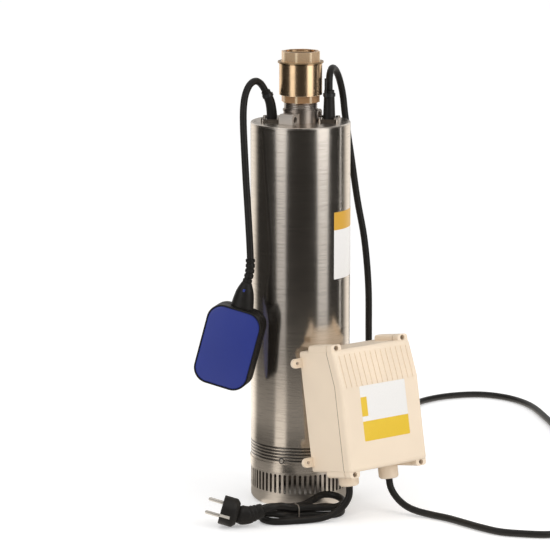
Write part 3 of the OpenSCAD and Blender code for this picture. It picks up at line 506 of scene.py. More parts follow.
def add_piece(name, grids, material, body, replaced=(), sharp=40):
    """One mesh from grids of points, each with its two wraps: doubles merged and faces turned outwards.
    A piece that bends between two bodies is given none here"""
    points = []
    faces = []
    count = 0
    for grid, wrap_rows, wrap_columns in grids:
        rows, columns = grid.shape[:2]
        points.append(grid.reshape(-1, 3))
        faces.append(grid_faces(rows, columns, wrap_rows, wrap_columns) + count)
        count += rows * columns
    mesh = bpy.data.meshes.new(name)
    mesh.from_pydata(np.concatenate(points).tolist(), [], np.concatenate(faces).tolist())
    work = bmesh.new()
    work.from_mesh(mesh)
    bmesh.ops.remove_doubles(work, verts=work.verts, dist=1e-6)
    bmesh.ops.dissolve_degenerate(work, edges=work.edges, dist=1e-7)
    bmesh.ops.recalc_face_normals(work, faces=work.faces)
    work.to_mesh(mesh)
    work.free()
    mesh.shade_smooth()
    mesh.set_sharp_from_angle(angle=math.radians(sharp))
    mesh.materials.append(material)
    piece = bpy.data.objects.new(name, mesh)
    bpy.context.scene.collection.objects.link(piece)
    if body:
        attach(piece, body)
    if replaced:
        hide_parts(*replaced)
    return piece


def turn_about(axis, angle):
    """The matrix of a turn about one of the frame's axes"""
    c, s = math.cos(angle), math.sin(angle)
    return {
        "x": np.array([[1, 0, 0], [0, c, -s], [0, s, c]]),
        "y": np.array([[c, 0, s], [0, 1, 0], [-s, 0, c]]),
        "z": np.array([[c, -s, 0], [s, c, 0], [0, 0, 1]]),
    }[axis]


def on_float(points):
    """Points of the hanging float's own frame, put in the shared frame"""
    sizes = bpy.context.scene.pump_float
    turn = turn_about("y", sizes.tilt) @ turn_about("z", sizes.turn)
    return points @ turn.T + np.array(FLOAT_MIDDLE) * MM


def on_box(points):
    """Points of the leaning control box's own frame, put in the shared frame"""
    side = math.radians(BOX_SIDE)
    reach = BOX_REACH * MM
    turn = turn_about("z", side) @ turn_about("x", math.radians(BOX_LEAN))
    foot = np.array([reach * math.sin(side), -reach * math.cos(side), BOX_HEIGHT * MM])
    return (points + np.array([BOX_SHIFT * MM, 0, 0])) @ turn.T + foot


def turned_surface(profile, segments=64):
    """A profile of radii and heights carried round the Z axis"""
    profile = np.asarray(profile, float)
    angle = np.linspace(0, FULL_TURN, segments, endpoint=False)
    radius, height = profile[:, :1], profile[:, 1:]
    return np.stack([radius * np.cos(angle), radius * np.sin(angle), height + 0 * angle], -1)


def smooth_line(points, steps):
    """Points on the cubic line through given points; its slope at each is half the step between the
    neighbours"""
    points = np.asarray(points, float)
    before = np.vstack([points[:1], points, points[-1:]])
    t = np.linspace(0, 1, steps, endpoint=False)[None, :, None]
    a, b, c, d = (before[i:len(points) - 1 + i, None, :] for i in range(4))
    line = 0.5 * (2 * b + (c - a) * t + (2 * a - 5 * b + 4 * c - d) * t ** 2
                  + (3 * b - a - 3 * c + d) * t ** 3)
    return np.vstack([line.reshape(-1, 3), points[-1:]])


def swept_surface(path, radius, flat=1.0, sides=32):
    """An ellipse carried along a path: at each point it lies square to the path, without twist"""
    path = np.asarray(path, float)
    heading = np.gradient(path, axis=0)
    heading /= np.linalg.norm(heading, axis=1, keepdims=True)
    side = np.zeros_like(path)
    first = np.array([1.0, 0, 0]) if abs(heading[0, 2]) > 0.9 else np.array([0, 0, 1.0])
    for i, direction in enumerate(heading):
        first = first - (first @ direction) * direction
        first = first / np.linalg.norm(first)
        side[i] = first
    up = np.cross(heading, side)
    angle = np.linspace(0, FULL_TURN, sides, endpoint=False)
    radius = np.broadcast_to(np.asarray(radius, float), len(path))[:, None, None]
    ring = side[:, None, :] * np.cos(angle)[None, :, None]
    ring = ring + flat * up[:, None, :] * np.sin(angle)[None, :, None]
    ends = [path[:1, None, :] + 0 * ring[:1], path[-1:, None, :] + 0 * ring[-1:]]
    return np.concatenate([ends[0], path[:, None, :] + radius * ring, ends[1]])


def round_outline(half_width, half_height, corner, inset, arc_points=14):
    """A rectangle with round corners, drawn in by an inset: four arcs about the fixed corner centres"""
    arc = np.linspace(0, math.pi / 2, arc_points)
    starts = np.arange(4) * math.pi / 2
    angle = (starts[:, None] + arc[None, :]).ravel()
    sign_x = np.repeat([1, -1, -1, 1], arc_points)
    sign_y = np.repeat([1, 1, -1, -1], arc_points)
    radius = corner - inset
    x = sign_x * (half_width - corner) + radius * np.cos(angle)
    y = sign_y * (half_height - corner) + radius * np.sin(angle)
    return np.stack([x, y], -1)


def upright(outline, depth, share=1.0):
    """A flat outline stood upright at a depth, at a share of its size"""
    return np.stack([outline[:, 0] * share, np.full(len(outline), depth), outline[:, 1] * share], -1)


def rounded_block(width, depth, height, corner):
    """A block with round upright edges and a chamfered top and foot: its outline at shares of its size,
    level by level, closed by a point at both ends"""
    ring = round_outline(width / 2, depth / 2, corner, 0, 4)
    bevel = corner * 0.5
    levels = [(0, 0), (0.9, 0), (1, bevel), (1, height - bevel), (0.9, height), (0, height)]
    return np.stack([np.stack([ring[:, 0] * share, ring[:, 1] * share, np.full(len(ring), level)], -1)
                     for share, level in levels])


def cable_curve(name, points, diameter, material):
    """A Bezier line through the points; handles reach a sixth of the step between a point's neighbours"""
    points = np.asarray(points, float) * MM
    before = np.vstack([points[:1], points[:-1]])
    after = np.vstack([points[1:], points[-1:]])
    reach = (after - before) / 6
    line = bpy.data.curves.new(name, "CURVE")
    line.dimensions = "3D"
    line.resolution_u = 5
    line.bevel_depth = diameter / 2
    line.bevel_resolution = 5
    line.use_fill_caps = True
    spline = line.splines.new("BEZIER")
    spline.bezier_points.add(len(points) - 1)
    spline.bezier_points.foreach_set("co", points.ravel())
    spline.bezier_points.foreach_set("handle_left", (points - reach).ravel())
    spline.bezier_points.foreach_set("handle_right", (points + reach).ravel())
    line.materials.append(material)
    cable = bpy.data.objects.new(name, line)
    bpy.context.scene.collection.objects.link(cable)
    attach(cable, "pump")
    return cable


def coil_route(radius, diameter, points_per_turn):
    """The stored turns: each keeps its slot's radius and its layer's height, and slides into the next
    turn's slot over its last quarter. Angles grow from 180 degrees, where the cable comes and goes"""
    slots = [(slot, layer) for layer, turns in enumerate(COIL_LAYERS) for slot in turns]
    steps = np.arange(points_per_turn) / points_per_turn
    slide = np.clip((steps - 0.75) / 0.25, 0, 1)
    slide = slide * slide * (3 - 2 * slide)
    here = np.array(slots, float)
    there = np.vstack([here[1:], here[-1:]])
    place = here[:, None, :] + (there - here)[:, None, :] * slide[None, :, None]
    angle = math.pi + FULL_TURN * (np.arange(len(slots))[:, None] + steps[None, :])
    r = radius - diameter * place[..., 0]
    z = diameter * (place[..., 1] + 0.5)
    turns = np.stack([r * np.cos(angle), r * np.sin(angle), z], -1).reshape(-1, 3)
    last = np.array([[-radius + diameter * here[-1, 0], 0, diameter * (here[-1, 1] + 0.5)]])
    return np.vstack([turns, last]) / MM + np.array([*COIL_CENTRE, 0])


def hank_route():
    """The mains cord's hank in the shared frame, in millimetres"""
    turn = turn_about("z", math.radians(HANK_TURN))
    return np.asarray(HANK_ROUTE, float) @ turn.T + np.array(HANK_CENTRE)


class PUMP_OT_stage(bpy.types.Operator):
    """Camera at the photograph's angle, pale floor, white surround and two upright softboxes"""

    bl_idname = "pump.stage"
    bl_label = "Stage"

    def execute(self, context):
        settings = context.scene.pump_stage
        context.scene.view_settings.view_transform = "Standard"
        self.add_camera(context.scene, settings)
        self.add_world(context.scene)
        self.add_floor(context.scene)
        glow = settings.softbox_glow
        for low, high, width, share in SOFTBOX_STEPS:
            for side, wider, dimmer in SOFTBOXES:
                self.add_softbox(context.scene, "softbox", side, width * wider, low, high,
                                 glow * share * dimmer)
        side, low, high, width, share = EDGE_LAMP
        self.add_softbox(context.scene, "softbox_edge", side, width, low, high, glow * share)
        return {"FINISHED"}

    def add_camera(self, scene, settings):
        data = bpy.data.cameras.new("camera")
        data.lens = settings.lens
        camera = bpy.data.objects.new("camera", data)
        camera.location = CAMERA_PLACE
        camera.rotation_euler = (math.pi / 2 - settings.pitch, 0, math.radians(CAMERA_PAN))
        scene.collection.objects.link(camera)
        scene.camera = camera

    def rear(self, back):
        """Light at both sides of the rear, shaded between, by how far a direction points back"""
        return back.ramp(0.36, 0.75) * (1 - 0.7 * back.ramp(0.93, 0.99))

    def add_world(self, scene):
        """White to the camera; to polished metal white at both sides of the rear with a shaded gap between,
        a dark warm front half and a pale top; an even soft light for everything else"""
        world = bpy.data.worlds.new("studio")
        world.use_nodes = True
        scene.world = world
        kit = NodeKit(world.node_tree)
        _, y, z = kit.axes(kit.add("ShaderNodeTexCoord", output="Generated"))
        seen, mirrored = kit.ray_kinds()
        room = kit.mix(self.rear(y), (0.034, 0.029, 0.025), (0.98, 0.97, 0.95))
        room = kit.mix(z.ramp(0.55, 0.95), room, (0.62, 0.61, 0.60))
        light = kit.mix(mirrored, (0.84, 0.835, 0.83), room)
        surround = kit.mix(seen, light, (1.0, 1.0, 1.0))
        background = kit.add("ShaderNodeBackground", None, {"Color": surround, "Strength": 1.0})
        kit.add("ShaderNodeOutputWorld", None, {"Surface": background})

    def add_floor(self, scene):
        """A pale floor that keeps the shadow and is lifted to white where nothing shades it. To polished
        metal it glows with a painted reflection of a studio: pale close by with a painted shaded ring round
        the pump, dark further off in front, white behind, and a painted pool of light before each softbox"""
        kit, place = new_finish("pale_floor")
        seen, mirrored = kit.ray_kinds()
        away = kit.length(place)
        behind = self.rear(kit.axes(place)[1] / away)
        # Painted shade: a darker ring round the pump in the glow that polished metal sees
        shaded = away.ramp(0.24, 0.32) * (1 - away.ramp(0.43, 0.5))
        # Painted reflection: the floor's glow for mirrored rays, dark far off in front and white behind
        studio = 0.028 + 0.36 * (1 - away.ramp(0.5, 1.15)) * (1 - 0.75 * shaded) + 1.12 * behind
        for side, _, _ in SOFTBOXES:
            angle = math.radians(side)
            ahead = kit.along(place, (0, 0, 0), (math.sin(angle), -math.cos(angle), 0)) / away
            # Painted light: a bright pool on the floor before each softbox, seen by polished metal
            painted_pool = ahead.ramp(0.962, 0.986) * (1 - away.ramp(0.65, 0.95))
            studio = studio + 0.6 * painted_pool * (1 + 0.5 * shaded)
        pale = kit.mix(mirrored, (0.86, 0.86, 0.86), (0, 0, 0))
        matt = kit.add("ShaderNodeBsdfDiffuse", None, {"Color": pale})
        warm = kit.mix(mirrored, (1, 1, 1), (1.0, 0.945, 0.87))
        strength = seen * 0.3 + mirrored * studio
        glow = kit.add("ShaderNodeEmission", None, {"Color": warm, "Strength": strength})
        both = kit.add("ShaderNodeAddShader", None, {0: matt, 1: glow})
        kit.add("ShaderNodeOutputMaterial", None, {"Surface": both})
        mesh = bpy.data.meshes.new("floor")
        corners = [(x * FLOOR_REACH, y * FLOOR_REACH, -FLOOR_DROP)
                   for x, y in ((-1, -1), (1, -1), (1, 1), (-1, 1))]
        mesh.from_pydata(corners, [], [(0, 1, 2, 3)])
        mesh.materials.append(kit.material)
        floor = bpy.data.objects.new("floor", mesh)
        scene.collection.objects.link(floor)

    def add_softbox(self, scene, name, side, width, low, high, glow):
        """An upright area lamp between two heights, at an angle to the camera's side and turned to the pump;
        its power gives it that glow"""
        data = bpy.data.lights.new(name, "AREA")
        data.shape = "RECTANGLE"
        data.size = width
        data.size_y = high - low
        data.energy = glow * math.pi * width * (high - low)
        lamp = bpy.data.objects.new(name, data)
        angle = math.radians(side)
        lamp.location = (LAMP_REACH * math.sin(angle), -LAMP_REACH * math.cos(angle), (low + high) / 2)
        lamp.rotation_euler = (math.pi / 2, 0, angle)
        lamp.visible_camera = False
        scene.collection.objects.link(lamp)


class PUMP_OT_cords(bpy.types.Operator):
    """The three rubber cables: float cable, pump cable with its stored coil, and mains cord with its hank"""

    bl_idname = "pump.cords"
    bl_label = "Cords"

    def execute(self, context):
        sizes = context.scene.pump_cords
        thick = sizes.cable_diameter
        rubber = rubber_finish("cable_rubber", 1500.0)
        float_cable = cable_curve("float_cord", FLOAT_ROUTE, thick, rubber)
        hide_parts("float_cable")

        coil = coil_route(sizes.coil_radius, thick, sizes.points_per_turn)
        whole = np.vstack([DROP_ROUTE, coil, RETURN_ROUTE])
        pump_cable = cable_curve("pump_cord", whole, thick, rubber)
        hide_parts("pump_cable_drop", "pump_cable_coil", "pump_cable_return")

        lead = np.vstack([MAINS_ROUTE, hank_route()])
        mains = cable_curve("mains_lead", lead, thick, rubber)
        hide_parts("mains_cord", "mains_hank")
        return {"FINISHED"}


class PUMP_OT_plug(bpy.types.Operator):
    """The moulded mains plug: a round body with a recess for each earth strip, and a bent neck"""

    bl_idname = "pump.plug"
    bl_label = "Mains plug"

    def execute(self, context):
        rubber = rubber_finish("plug_rubber", 1200.0, 1.1)
        turn = np.eye(3)
        for axis, angle in zip("xyz", PLUG_TURN):
            turn = turn_about(axis, math.radians(angle)) @ turn
        body = self.body() @ turn.T + np.array(PLUG_MIDDLE) * MM
        add_piece("plug_moulding", [(body, False, True), (self.neck(), False, True)], rubber, "pump",
                  ("plug_body",), 28)
        return {"FINISHED"}

    def body(self):
        """A turned profile about the pins' axis: on both sides the radius is cut down to a flat recess,
        which runs back from the front for the length of an earth strip"""
        profile = np.array([
            (11, 0), (11, 9), (11, 17.2), (10.75, 18.0), (10, 18.5), (4, 18.5), (-1.95, 18.5), (-2.05, 18.5),
            (-5.6, 18.5), (-6.4, 18.2), (-7.2, 17.6), (-10.2, 14.6), (-10.8, 13.8), (-11, 13), (-11, 0)])
        half_slot = math.radians(9.3)
        slot = np.linspace(-half_slot, half_slot, 9)
        wall = np.linspace(half_slot + 0.004, math.pi - half_slot - 0.004, 45)
        angle = np.concatenate([slot, wall, slot + math.pi, wall + math.pi])[None, :]
        x, r = profile[:, :1], profile[:, 1:] + 0 * angle
        recess = (x > -2) & (np.abs(np.sin(angle)) < math.sin(half_slot + 0.002))
        r = np.where(recess, np.minimum(r, 17.0 / np.abs(np.cos(angle))), r)
        return np.stack([x + 0 * angle, r * np.cos(angle), r * np.sin(angle)], -1) * MM

    def neck(self):
        """A flattened tube along the neck's line: its radius swells behind the body, tapers to the cord and
        dips in three grip grooves"""
        path = smooth_line(PLUG_NECK, 14)
        t = np.linspace(0, 1, len(path))
        radius = np.interp(t, (0, 0.16, 0.3, 0.55, 0.85, 0.95, 1), (10.0, 10.8, 12.6, 11.4, 9.4, 8.8, 7.4))
        for groove in (0.62, 0.72, 0.82):
            radius = radius - 0.8 * np.exp(-((t - groove) / 0.014) ** 2)
        return swept_surface(path * MM, radius * MM, 0.84)


class PUMP_OT_ties(bpy.types.Operator):
    """Nylon ties round the stored coil and the cable boots, and the pale wire round the hank"""

    bl_idname = "pump.ties"
    bl_label = "Cord ties"

    def execute(self, context):
        nylon = moulded_plastic("tie_nylon", (0.02, 0.02, 0.02), 0.38, 1400.0, 0.05)
        coil_ties = [(self.coil_tie(turn), True, True) for turn in COIL_TIE_TURNS]
        add_piece("cord_tie_bands", coil_ties, nylon, "pump", ("cord_ties",))
        wire = moulded_plastic("tie_wire", (0.20, 0.17, 0.14), 0.45, 1400.0, 0.05)
        add_piece("hank_tie_wire", [(self.hank_tie(), True, True)], wire, "pump")
        left = self.boot_tie(6.35, 90, 9, -21, (-41.2, -1.4, 526.0))
        right = self.boot_tie(7.05, 240, 20, 0, (36.5, 0, 526.5))
        add_piece("boot_tie_bands", left + right, nylon, "pump", ("boot_ties",))
        return {"FINISHED"}

    def boot_tie(self, radius, side, tail_length, lean, place):
        """A thin ring about the Z axis, its lock block at one side and the tail that stands out of the lock,
        then leant sideways and put in place"""
        ring = turned_surface([(radius, 0), (radius + 0.9, 0), (radius + 0.9, 4), (radius, 4)], 48)
        lock = rounded_block(3.4, 4.4, 5.2, 0.6) + np.array([radius + 2.0, 0, -0.6])
        tail = rounded_block(1.0, 3.4, tail_length, 0.4) + np.array([radius + 2.2, 0, 4.0])
        turn = turn_about("y", math.radians(lean)) @ turn_about("z", math.radians(side))
        return [((grid @ turn.T + np.array(place)) * MM, wraps, True)
                for grid, wraps in ((ring, True), (lock, False), (tail, False))]

    def band(self, half_width, low, high, corner, width):
        """A flat strip bent round a rectangle with round corners: its section is a thin rectangle"""
        half = (high - low) / 2
        outer = round_outline(half_width + 1.4 * MM, half + 0.7 * MM, corner + 1.2 * MM, 0)
        inner = round_outline(half_width + 0.2 * MM, half - 0.5 * MM, corner, 0)
        edges = [(outer, -1), (outer, 1), (inner, 1), (inner, -1)]
        rows = [upright(ring, side * width / 2) for ring, side in edges]
        return np.stack(rows) + np.array([0, 0, low + half])

    def coil_tie(self, turn):
        strip = self.band(18.2 * MM, 0.6 * MM, 36.2 * MM, 4 * MM, 4.6 * MM)
        strip = strip + np.array([81 * MM, 0, 0])
        strip = strip @ turn_about("z", math.radians(turn)).T
        return strip + np.array([*COIL_CENTRE, 0]) * MM

    def hank_tie(self):
        strip = self.band(9.4 * MM, 0.5 * MM, 18.2 * MM, 4 * MM, 1.2 * MM)
        quarter = turn_about("z", math.pi / 2)
        strip = strip @ quarter.T + np.array([-8 * MM, 0, 0])
        strip = strip @ turn_about("z", math.radians(HANK_TURN)).T
        return strip + np.array(HANK_CENTRE) * MM


class PUMP_OT_float(bpy.types.Operator):
    """The float switch: rubber band, two crowned panels and the ribbed cable boot"""

    bl_idname = "pump.float_switch"
    bl_label = "Float switch"

    def execute(self, context):
        sizes = context.scene.pump_float
        rubber = rubber_finish("float_rubber", 1100.0, 0.9)
        blue = moulded_plastic("float_blue", tuple(context.scene.pump_finishes.blue), 0.36, 900.0, 0.06)
        half = sizes.thickness / 2
        add_piece("float_rim", [(on_float(self.rim(sizes, half)), True, True)], rubber, "float",
                  ("float_band",))
        front = self.panel(sizes, half)
        add_piece("float_panel_front", [(on_float(front), False, True)], blue, "float",
                  ("float_front_shell",))
        back = front * np.array([1, -1, 1])
        add_piece("float_panel_back", [(on_float(back), False, True)], blue, "float",
                  ("float_back_shell",))
        add_piece("float_neck_boot", [(on_float(self.boot(sizes)), False, True)], rubber, "float",
                  ("float_boot",))
        path = self.neck_path(sizes)
        neck = add_piece("float_neck_ribs", [(self.neck(path), False, True)], rubber, None)
        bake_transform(neck)
        key = rounded_block(3.0 * MM, 1.6 * MM, 3.4 * MM, 0.7 * MM) + np.array([0.6, -9.7, 0]) * MM
        key = key + np.array([0, 0, sizes.height / 2 + 22 * MM])
        add_piece("float_boot_key", [(on_float(key), False, True)], blue, "float")
        return {"FINISHED"}

    def rim(self, sizes, half):
        """A lipped section carried round the float: each row is its outline at an inset and a depth"""
        arc = np.linspace(0, math.pi / 2, 7)
        lip = 1.2 * MM
        front = np.stack([lip * (1 - np.sin(arc)), -half + lip * (1 - np.cos(arc))], -1)
        seam = np.array([[0.0, -1.2 * MM], [0.5 * MM, -0.5 * MM], [0.5 * MM, 0.5 * MM], [0.0, 1.2 * MM]])
        back = front[::-1] * np.array([1, -1])
        inner = np.array([[1.5 * MM, half], [2.1 * MM, half - 0.8 * MM], [2.1 * MM, -half + 0.8 * MM],
                          [1.5 * MM, -half]])
        section = np.vstack([front, seam, back, inner])
        rows = []
        for inset, depth in section:
            ring = round_outline(sizes.width / 2, sizes.height / 2, 20 * MM, inset)
            rows.append(upright(ring, depth))
        return np.stack(rows)

    def panel(self, sizes, half):
        """A crowned plate: rings shrink to the middle, and the depth falls with the squared distance"""
        ring = round_outline(sizes.width / 2, sizes.height / 2, 20 * MM, 1.9 * MM)
        share = np.concatenate([[0.0], np.linspace(0.08, 0.94, 12), [0.965, 0.985, 0.996, 1.0]])
        points = share[:, None, None] * ring[None, :, :]
        edge = np.clip((share - 0.955) / 0.045, 0, 1)[:, None]
        fall = (points[..., 0] ** 2 + points[..., 1] ** 2) / 1.3
        depth = -half - 1.3 * MM + fall + 1.1 * MM * (1 - np.sqrt(1 - edge ** 2 * 0.98))
        front = np.stack([points[..., 0], depth, points[..., 1]], -1)
        inside = -half + 4 * MM
        back = [upright(ring, inside), upright(ring, inside, 0.0)]
        return np.concatenate([front, np.stack(back)])

    def boot(self, sizes):
        """A flattened cone: radii along the float's length, wider across than deep at the foot, which is
        drawn a little to one side"""
        foot = sizes.height / 2
        profile = np.array([
            (0.0, -1.0), (13.6, -1.0), (14.2, 0.6), (13.8, 3.0), (13.2, 9.0), (12.3, 15.0), (11.4, 20.0),
            (10.0, 24.5), (8.3, 28.5), (6.9, 32.0), (6.0, 33.2), (4.6, 33.6), (0.0, 33.7)]) * MM
        surface = turned_surface(profile, 48)
        height = surface[..., 2]
        low = np.clip(1 - height / (33 * MM), 0, 1)
        wide = surface[..., 0] * (1 + 0.06 * low) + 2.2 * MM * low
        return np.stack([wide, surface[..., 1] * (1 - 0.1 * low), height + foot], -1)

    def neck_path(self, sizes):
        """The line from inside the boot along the float's length to its hinge and on up the cable"""
        heights = np.array([31.0, 38.0, 45.0]) * MM + sizes.height / 2
        lower = on_float(heights[:, None] * np.array([0, 0, 1.0]))
        upper = np.array([(-63.55, -61, 319), (-63.6, -61, 326.3)]) * MM
        return smooth_line(np.vstack([lower, upper]), 26)

    def neck(self, path):
        """A ribbed tube along a path: its radius steps between groove and rib with the distance along it"""
        steps = np.linalg.norm(np.diff(path, axis=0), axis=1)
        along = np.concatenate([[0], np.cumsum(steps)])
        phase = along / (6.7 * MM) % 1.0
        rib = np.clip((phase - 0.25) / 0.1, 0, 1) * np.clip((1 - phase) / 0.1, 0, 1)
        return swept_surface(path, (4.9 + 1.1 * rib) * MM, sides=40)


class PUMP_OT_outlet(bpy.types.Operator):
    """Pipe threads of the outlet neck and of the valve's socket, and the valve's spring"""

    bl_idname = "pump.outlet"
    bl_label = "Outlet threads and spring"

    def execute(self, context):
        steel = machined_steel("thread_steel", (0.5, 0.45, 0.405), 0.3)
        brass = brass_finish("socket_brass")
        male = self.thread(20.95, 0.55, 511.4, 519.6)
        add_piece("neck_thread", [(male, False, True)], steel, "pump")
        female = self.thread(19.4, -0.75, 570.0, 583.2)
        add_piece("socket_thread", [(female, False, True)], brass, "pump")
        spring = add_piece("valve_spring_wire", [(self.spring(), False, True)], steel, "pump",
                           ("valve_spring",))
        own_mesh(spring)
        return {"FINISHED"}

    def spring(self):
        """A round wire carried along a helix of four and a half turns between the poppet and its guide"""
        share = np.linspace(0, 1, 220)
        angle = 4.5 * FULL_TURN * share
        path = np.stack([9 * np.cos(angle), 9 * np.sin(angle), 542 + 17.2 * share], -1)
        return swept_surface(path * MM, 0.7 * MM, sides=12)

    def thread(self, radius, depth, low, high):
        """A screw surface: the radius rises and falls with the height less the pitch times the turn,
        and fades to the plain radius at both ends"""
        z = np.linspace(low, high, 90)[:, None]
        angle = np.linspace(0, FULL_TURN, 72, endpoint=False)[None, :]
        phase = (z / PIPE_PITCH - angle / FULL_TURN) % 1.0
        ridge = 1 - np.abs(2 * phase - 1)
        fade = np.clip((z - low) / 1.2, 0, 1) * np.clip((high - z) / 1.2, 0, 1)
        r = (radius + depth * ridge * fade) * MM
        return np.stack([r * np.cos(angle), r * np.sin(angle), z * MM + 0 * angle], -1)


class PUMP_OT_screws(bpy.types.Operator):
    """The three socket screws sunk in the suction ring, each in a black rubber washer: painted shade in its
    seat
    """

    bl_idname = "pump.ring_screws"
    bl_label = "Ring screws"

    def execute(self, context):
        steel = machined_steel("ring_screw_steel", (0.9, 0.85, 0.78), 0.4)
        rubber = rubber_finish("seat_shade_washer_rubber", 1300.0)
        socket = [(0.0, 62.4), (1.3, 62.4), (1.3, 63.7)]
        head = [(1.6, 64.0), (2.3, 63.9), (2.6, 63.5), (2.6, 62.1), (2.1, 62.1), (2.1, 57.4), (0.0, 57.4)]
        # Painted shade: a black rubber ring in each seat round the head
        washer = [(2.65, 62.0), (2.65, 62.9), (3.5, 62.9), (3.75, 62.6), (3.75, 62.0)]
        add_piece("ring_screws", self.three_of(socket, head, False), steel, "pump",
                  ("strainer_screws",))
        add_piece("screw_seat_shade_washers", self.three_of([], washer, True), rubber, "pump")
        return {"FINISHED"}

    def three_of(self, socket, rows, closed):
        """The same rings at each of the three screws"""
        grids = []
        for side in SCREW_TURNS:
            turned = self.rings(socket, rows) @ turn_about("z", math.radians(side)).T
            grids.append(((turned + np.array([0, 0, SCREW_HEIGHT])) * MM, closed, True))
        return grids

    def rings(self, socket, rows):
        """Rings about the X axis by radius and height; those of the socket are drawn in to a hexagon by the
        cosine of the angle from the nearest flat"""
        angle = np.linspace(0, FULL_TURN, 48, endpoint=False)
        flat = math.cos(math.pi / 6) / np.cos(angle % (math.pi / 3) - math.pi / 6)
        grid = []
        for shape, part in ((flat, socket), (np.ones_like(angle), rows)):
            for radius, height in part:
                reach = radius * shape
                grid.append(np.stack([height + 0 * angle, reach * np.cos(angle), reach * np.sin(angle)], -1))
        return np.stack(grid)


class PUMP_OT_labels(bpy.types.Operator):
    """Blank two-tone labels on the jacket and on the lid"""

    bl_idname = "pump.labels"
    bl_label = "Blank labels"

    def execute(self, context):
        finishes = context.scene.pump_finishes
        self.lid_label(tuple(finishes.label_yellow))
        self.jacket_label(tuple(finishes.label_amber))
        return {"FINISHED"}

    def lid_label(self, yellow):
        """A thin flat sheet with round corners on the lid's upright front"""
        width, height = 73.5 * MM, 70 * MM
        middle = np.array([2.2, 0, -83.5]) * MM
        ring = round_outline(width / 2, height / 2, 1.5 * MM, 0, 5)
        front, back = -78.25 * MM, -77.9 * MM
        rows = [(0.0, front), (0.5, front), (0.98, front), (1.0, front + 0.1 * MM), (1.0, back), (0.0, back)]
        grid = np.stack([upright(ring, depth, share) for share, depth in rows])
        corner = on_box(np.array([[-width / 2, 0, -height / 2]]) + middle)[0]
        along = on_box(np.array([[0, 0, 0], [1, 0, 0], [0, 0, 1.0]]))
        across, up = along[1:] - along[0]
        finish = lid_label_finish("lid_label_paper", yellow, corner, across, up, (width, height))
        add_piece("lid_label", [(on_box(grid + middle), False, True)], finish, "pump")

    def jacket_label(self, amber):
        """A thin sheet bent round the jacket between two angles and two heights"""
        low, high = 297.5 * MM, 384 * MM
        angle = np.radians(np.linspace(42, 96, 40))[None, :]
        rows = [(low, 63.95), (low, 64.12), (low + 0.4 * MM, 64.2), (high - 0.4 * MM, 64.2), (high, 64.12),
                (high, 63.95)]
        z = np.array([row[0] for row in rows])[:, None]
        r = np.array([row[1] for row in rows])[:, None] * MM
        r = r - 0.2 * MM * ((angle == angle.min()) | (angle == angle.max()))
        grid = np.stack([r * np.sin(angle), -r * np.cos(angle), z + 0 * angle], -1)
        finish = jacket_label_finish("jacket_label_paper", amber, 361 * MM)
        add_piece("jacket_label", [(grid, True, False)], finish, "pump")


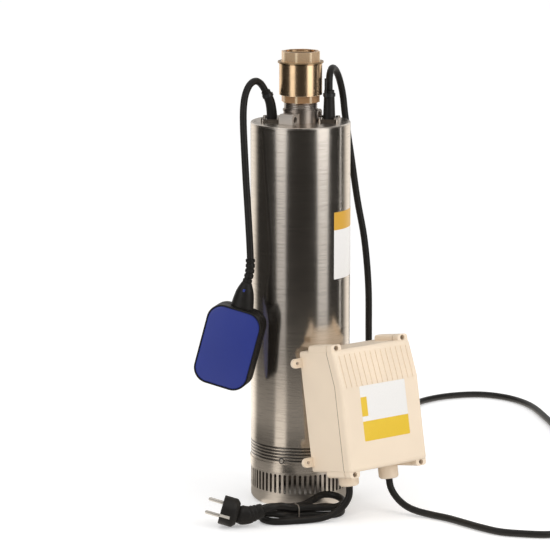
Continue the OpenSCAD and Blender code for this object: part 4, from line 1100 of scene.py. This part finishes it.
class PUMP_OT_finishes(bpy.types.Operator):
    """A procedural finish on every node that keeps its own solid"""

    bl_idname = "pump.finishes"
    bl_label = "Finishes"

    def execute(self, context):
        colours = context.scene.pump_finishes
        steel = tuple(colours.steel)
        finishes = {
            "stainless": brushed_steel("jacket_steel", steel, 0.19),
            "fasteners": machined_steel("screw_steel", (0.52, 0.475, 0.43), 0.26),
            "inner_steel": machined_steel("inner_steel", (0.5, 0.51, 0.52), 0.32),
            "inner_castings": cast_metal("casting_grey", (0.22, 0.225, 0.23)),
            "brass": brass_finish("valve_brass"),
            "copper_wire": copper_finish("winding_copper"),
            "black_rubber": rubber_finish("moulded_rubber", 1300.0),
            "black_plastic": moulded_plastic("black_nylon", (0.02, 0.02, 0.02), 0.4, 1300.0, 0.06),
            "grey_plastic": moulded_plastic("stage_grey", (0.12, 0.125, 0.13), 0.5, 900.0, 0.1),
            "white_plastic": moulded_plastic("white_moulding", (0.62, 0.61, 0.58), 0.42, 1100.0, 0.06),
            "cream_plastic": moulded_plastic("box_cream", tuple(colours.cream), 0.42, 1500.0, 0.07),
            "blue_plastic": moulded_plastic("shell_blue", tuple(colours.blue), 0.36, 900.0, 0.06),
            "nickel": nickel_finish("plug_nickel"),
        }
        special = {
            # Painted shade inside the strainer's slots and the ring's grooves
            "suction_strainer": brushed_steel("strainer_steel", shade(steel, 0.95), 0.36, 0.0636, 0.01),
            "suction_ring": brushed_steel("ring_steel", steel, 0.25, 0.0639),
            "top_cover": brushed_steel("cover_steel", steel, 0.26),
            "outlet_neck": machined_steel("neck_steel", (0.42, 0.365, 0.32), 0.36, LUG_FROM),
            "box_gasket": moulded_plastic("gasket_brown", (0.26, 0.195, 0.14), 0.8, 1300.0, 0.05, 0.0),
        }
        for row in frame["record"]["subparts"]:
            piece = frame["nodes"][row["node"]]
            piece.data.materials.clear()
            piece.data.materials.append(special.get(row["node"], finishes[row["material_slot"]]))
        return {"FINISHED"}


class PUMP_PT_panel(bpy.types.Panel):
    """Lists the pump's operators and settings"""

    bl_idname = "PUMP_PT_panel"
    bl_label = "Borehole pump"
    bl_space_type = "VIEW_3D"
    bl_region_type = "UI"
    bl_category = "Pump"

    def draw(self, context):
        scene = context.scene
        for group in (scene.pump_cords, scene.pump_float, scene.pump_finishes, scene.pump_stage):
            box = self.layout.box()
            for name in group.__annotations__:
                box.prop(group, name)
        for operator in STEPS:
            self.layout.operator(operator.bl_idname)


SETTINGS = {
    "pump_cords": PumpCordSettings,
    "pump_float": PumpFloatSettings,
    "pump_finishes": PumpFinishSettings,
    "pump_stage": PumpStageSettings,
}
STEPS = (
    PUMP_OT_stage,
    PUMP_OT_plug,
    PUMP_OT_cords,
    PUMP_OT_ties,
    PUMP_OT_float,
    PUMP_OT_outlet,
    PUMP_OT_screws,
    PUMP_OT_labels,
    PUMP_OT_finishes,
)


def register():
    for name, group in SETTINGS.items():
        bpy.utils.register_class(group)
        setattr(bpy.types.Scene, name, bpy.props.PointerProperty(type=group))
    for operator in STEPS:
        bpy.utils.register_class(operator)
    bpy.utils.register_class(PUMP_PT_panel)


def unregister():
    bpy.utils.unregister_class(PUMP_PT_panel)
    for operator in reversed(STEPS):
        bpy.utils.unregister_class(operator)
    for name, group in SETTINGS.items():
        delattr(bpy.types.Scene, name)
        bpy.utils.unregister_class(group)


def main():
    register()
    bpy.ops.pump.stage()
    bpy.ops.pump.plug()
    bpy.ops.pump.cords()
    bpy.ops.pump.ties()
    bpy.ops.pump.float_switch()
    bpy.ops.pump.outlet()
    bpy.ops.pump.ring_screws()
    bpy.ops.pump.labels()
    bpy.ops.pump.finishes()


if __name__ == "__main__":
    main()
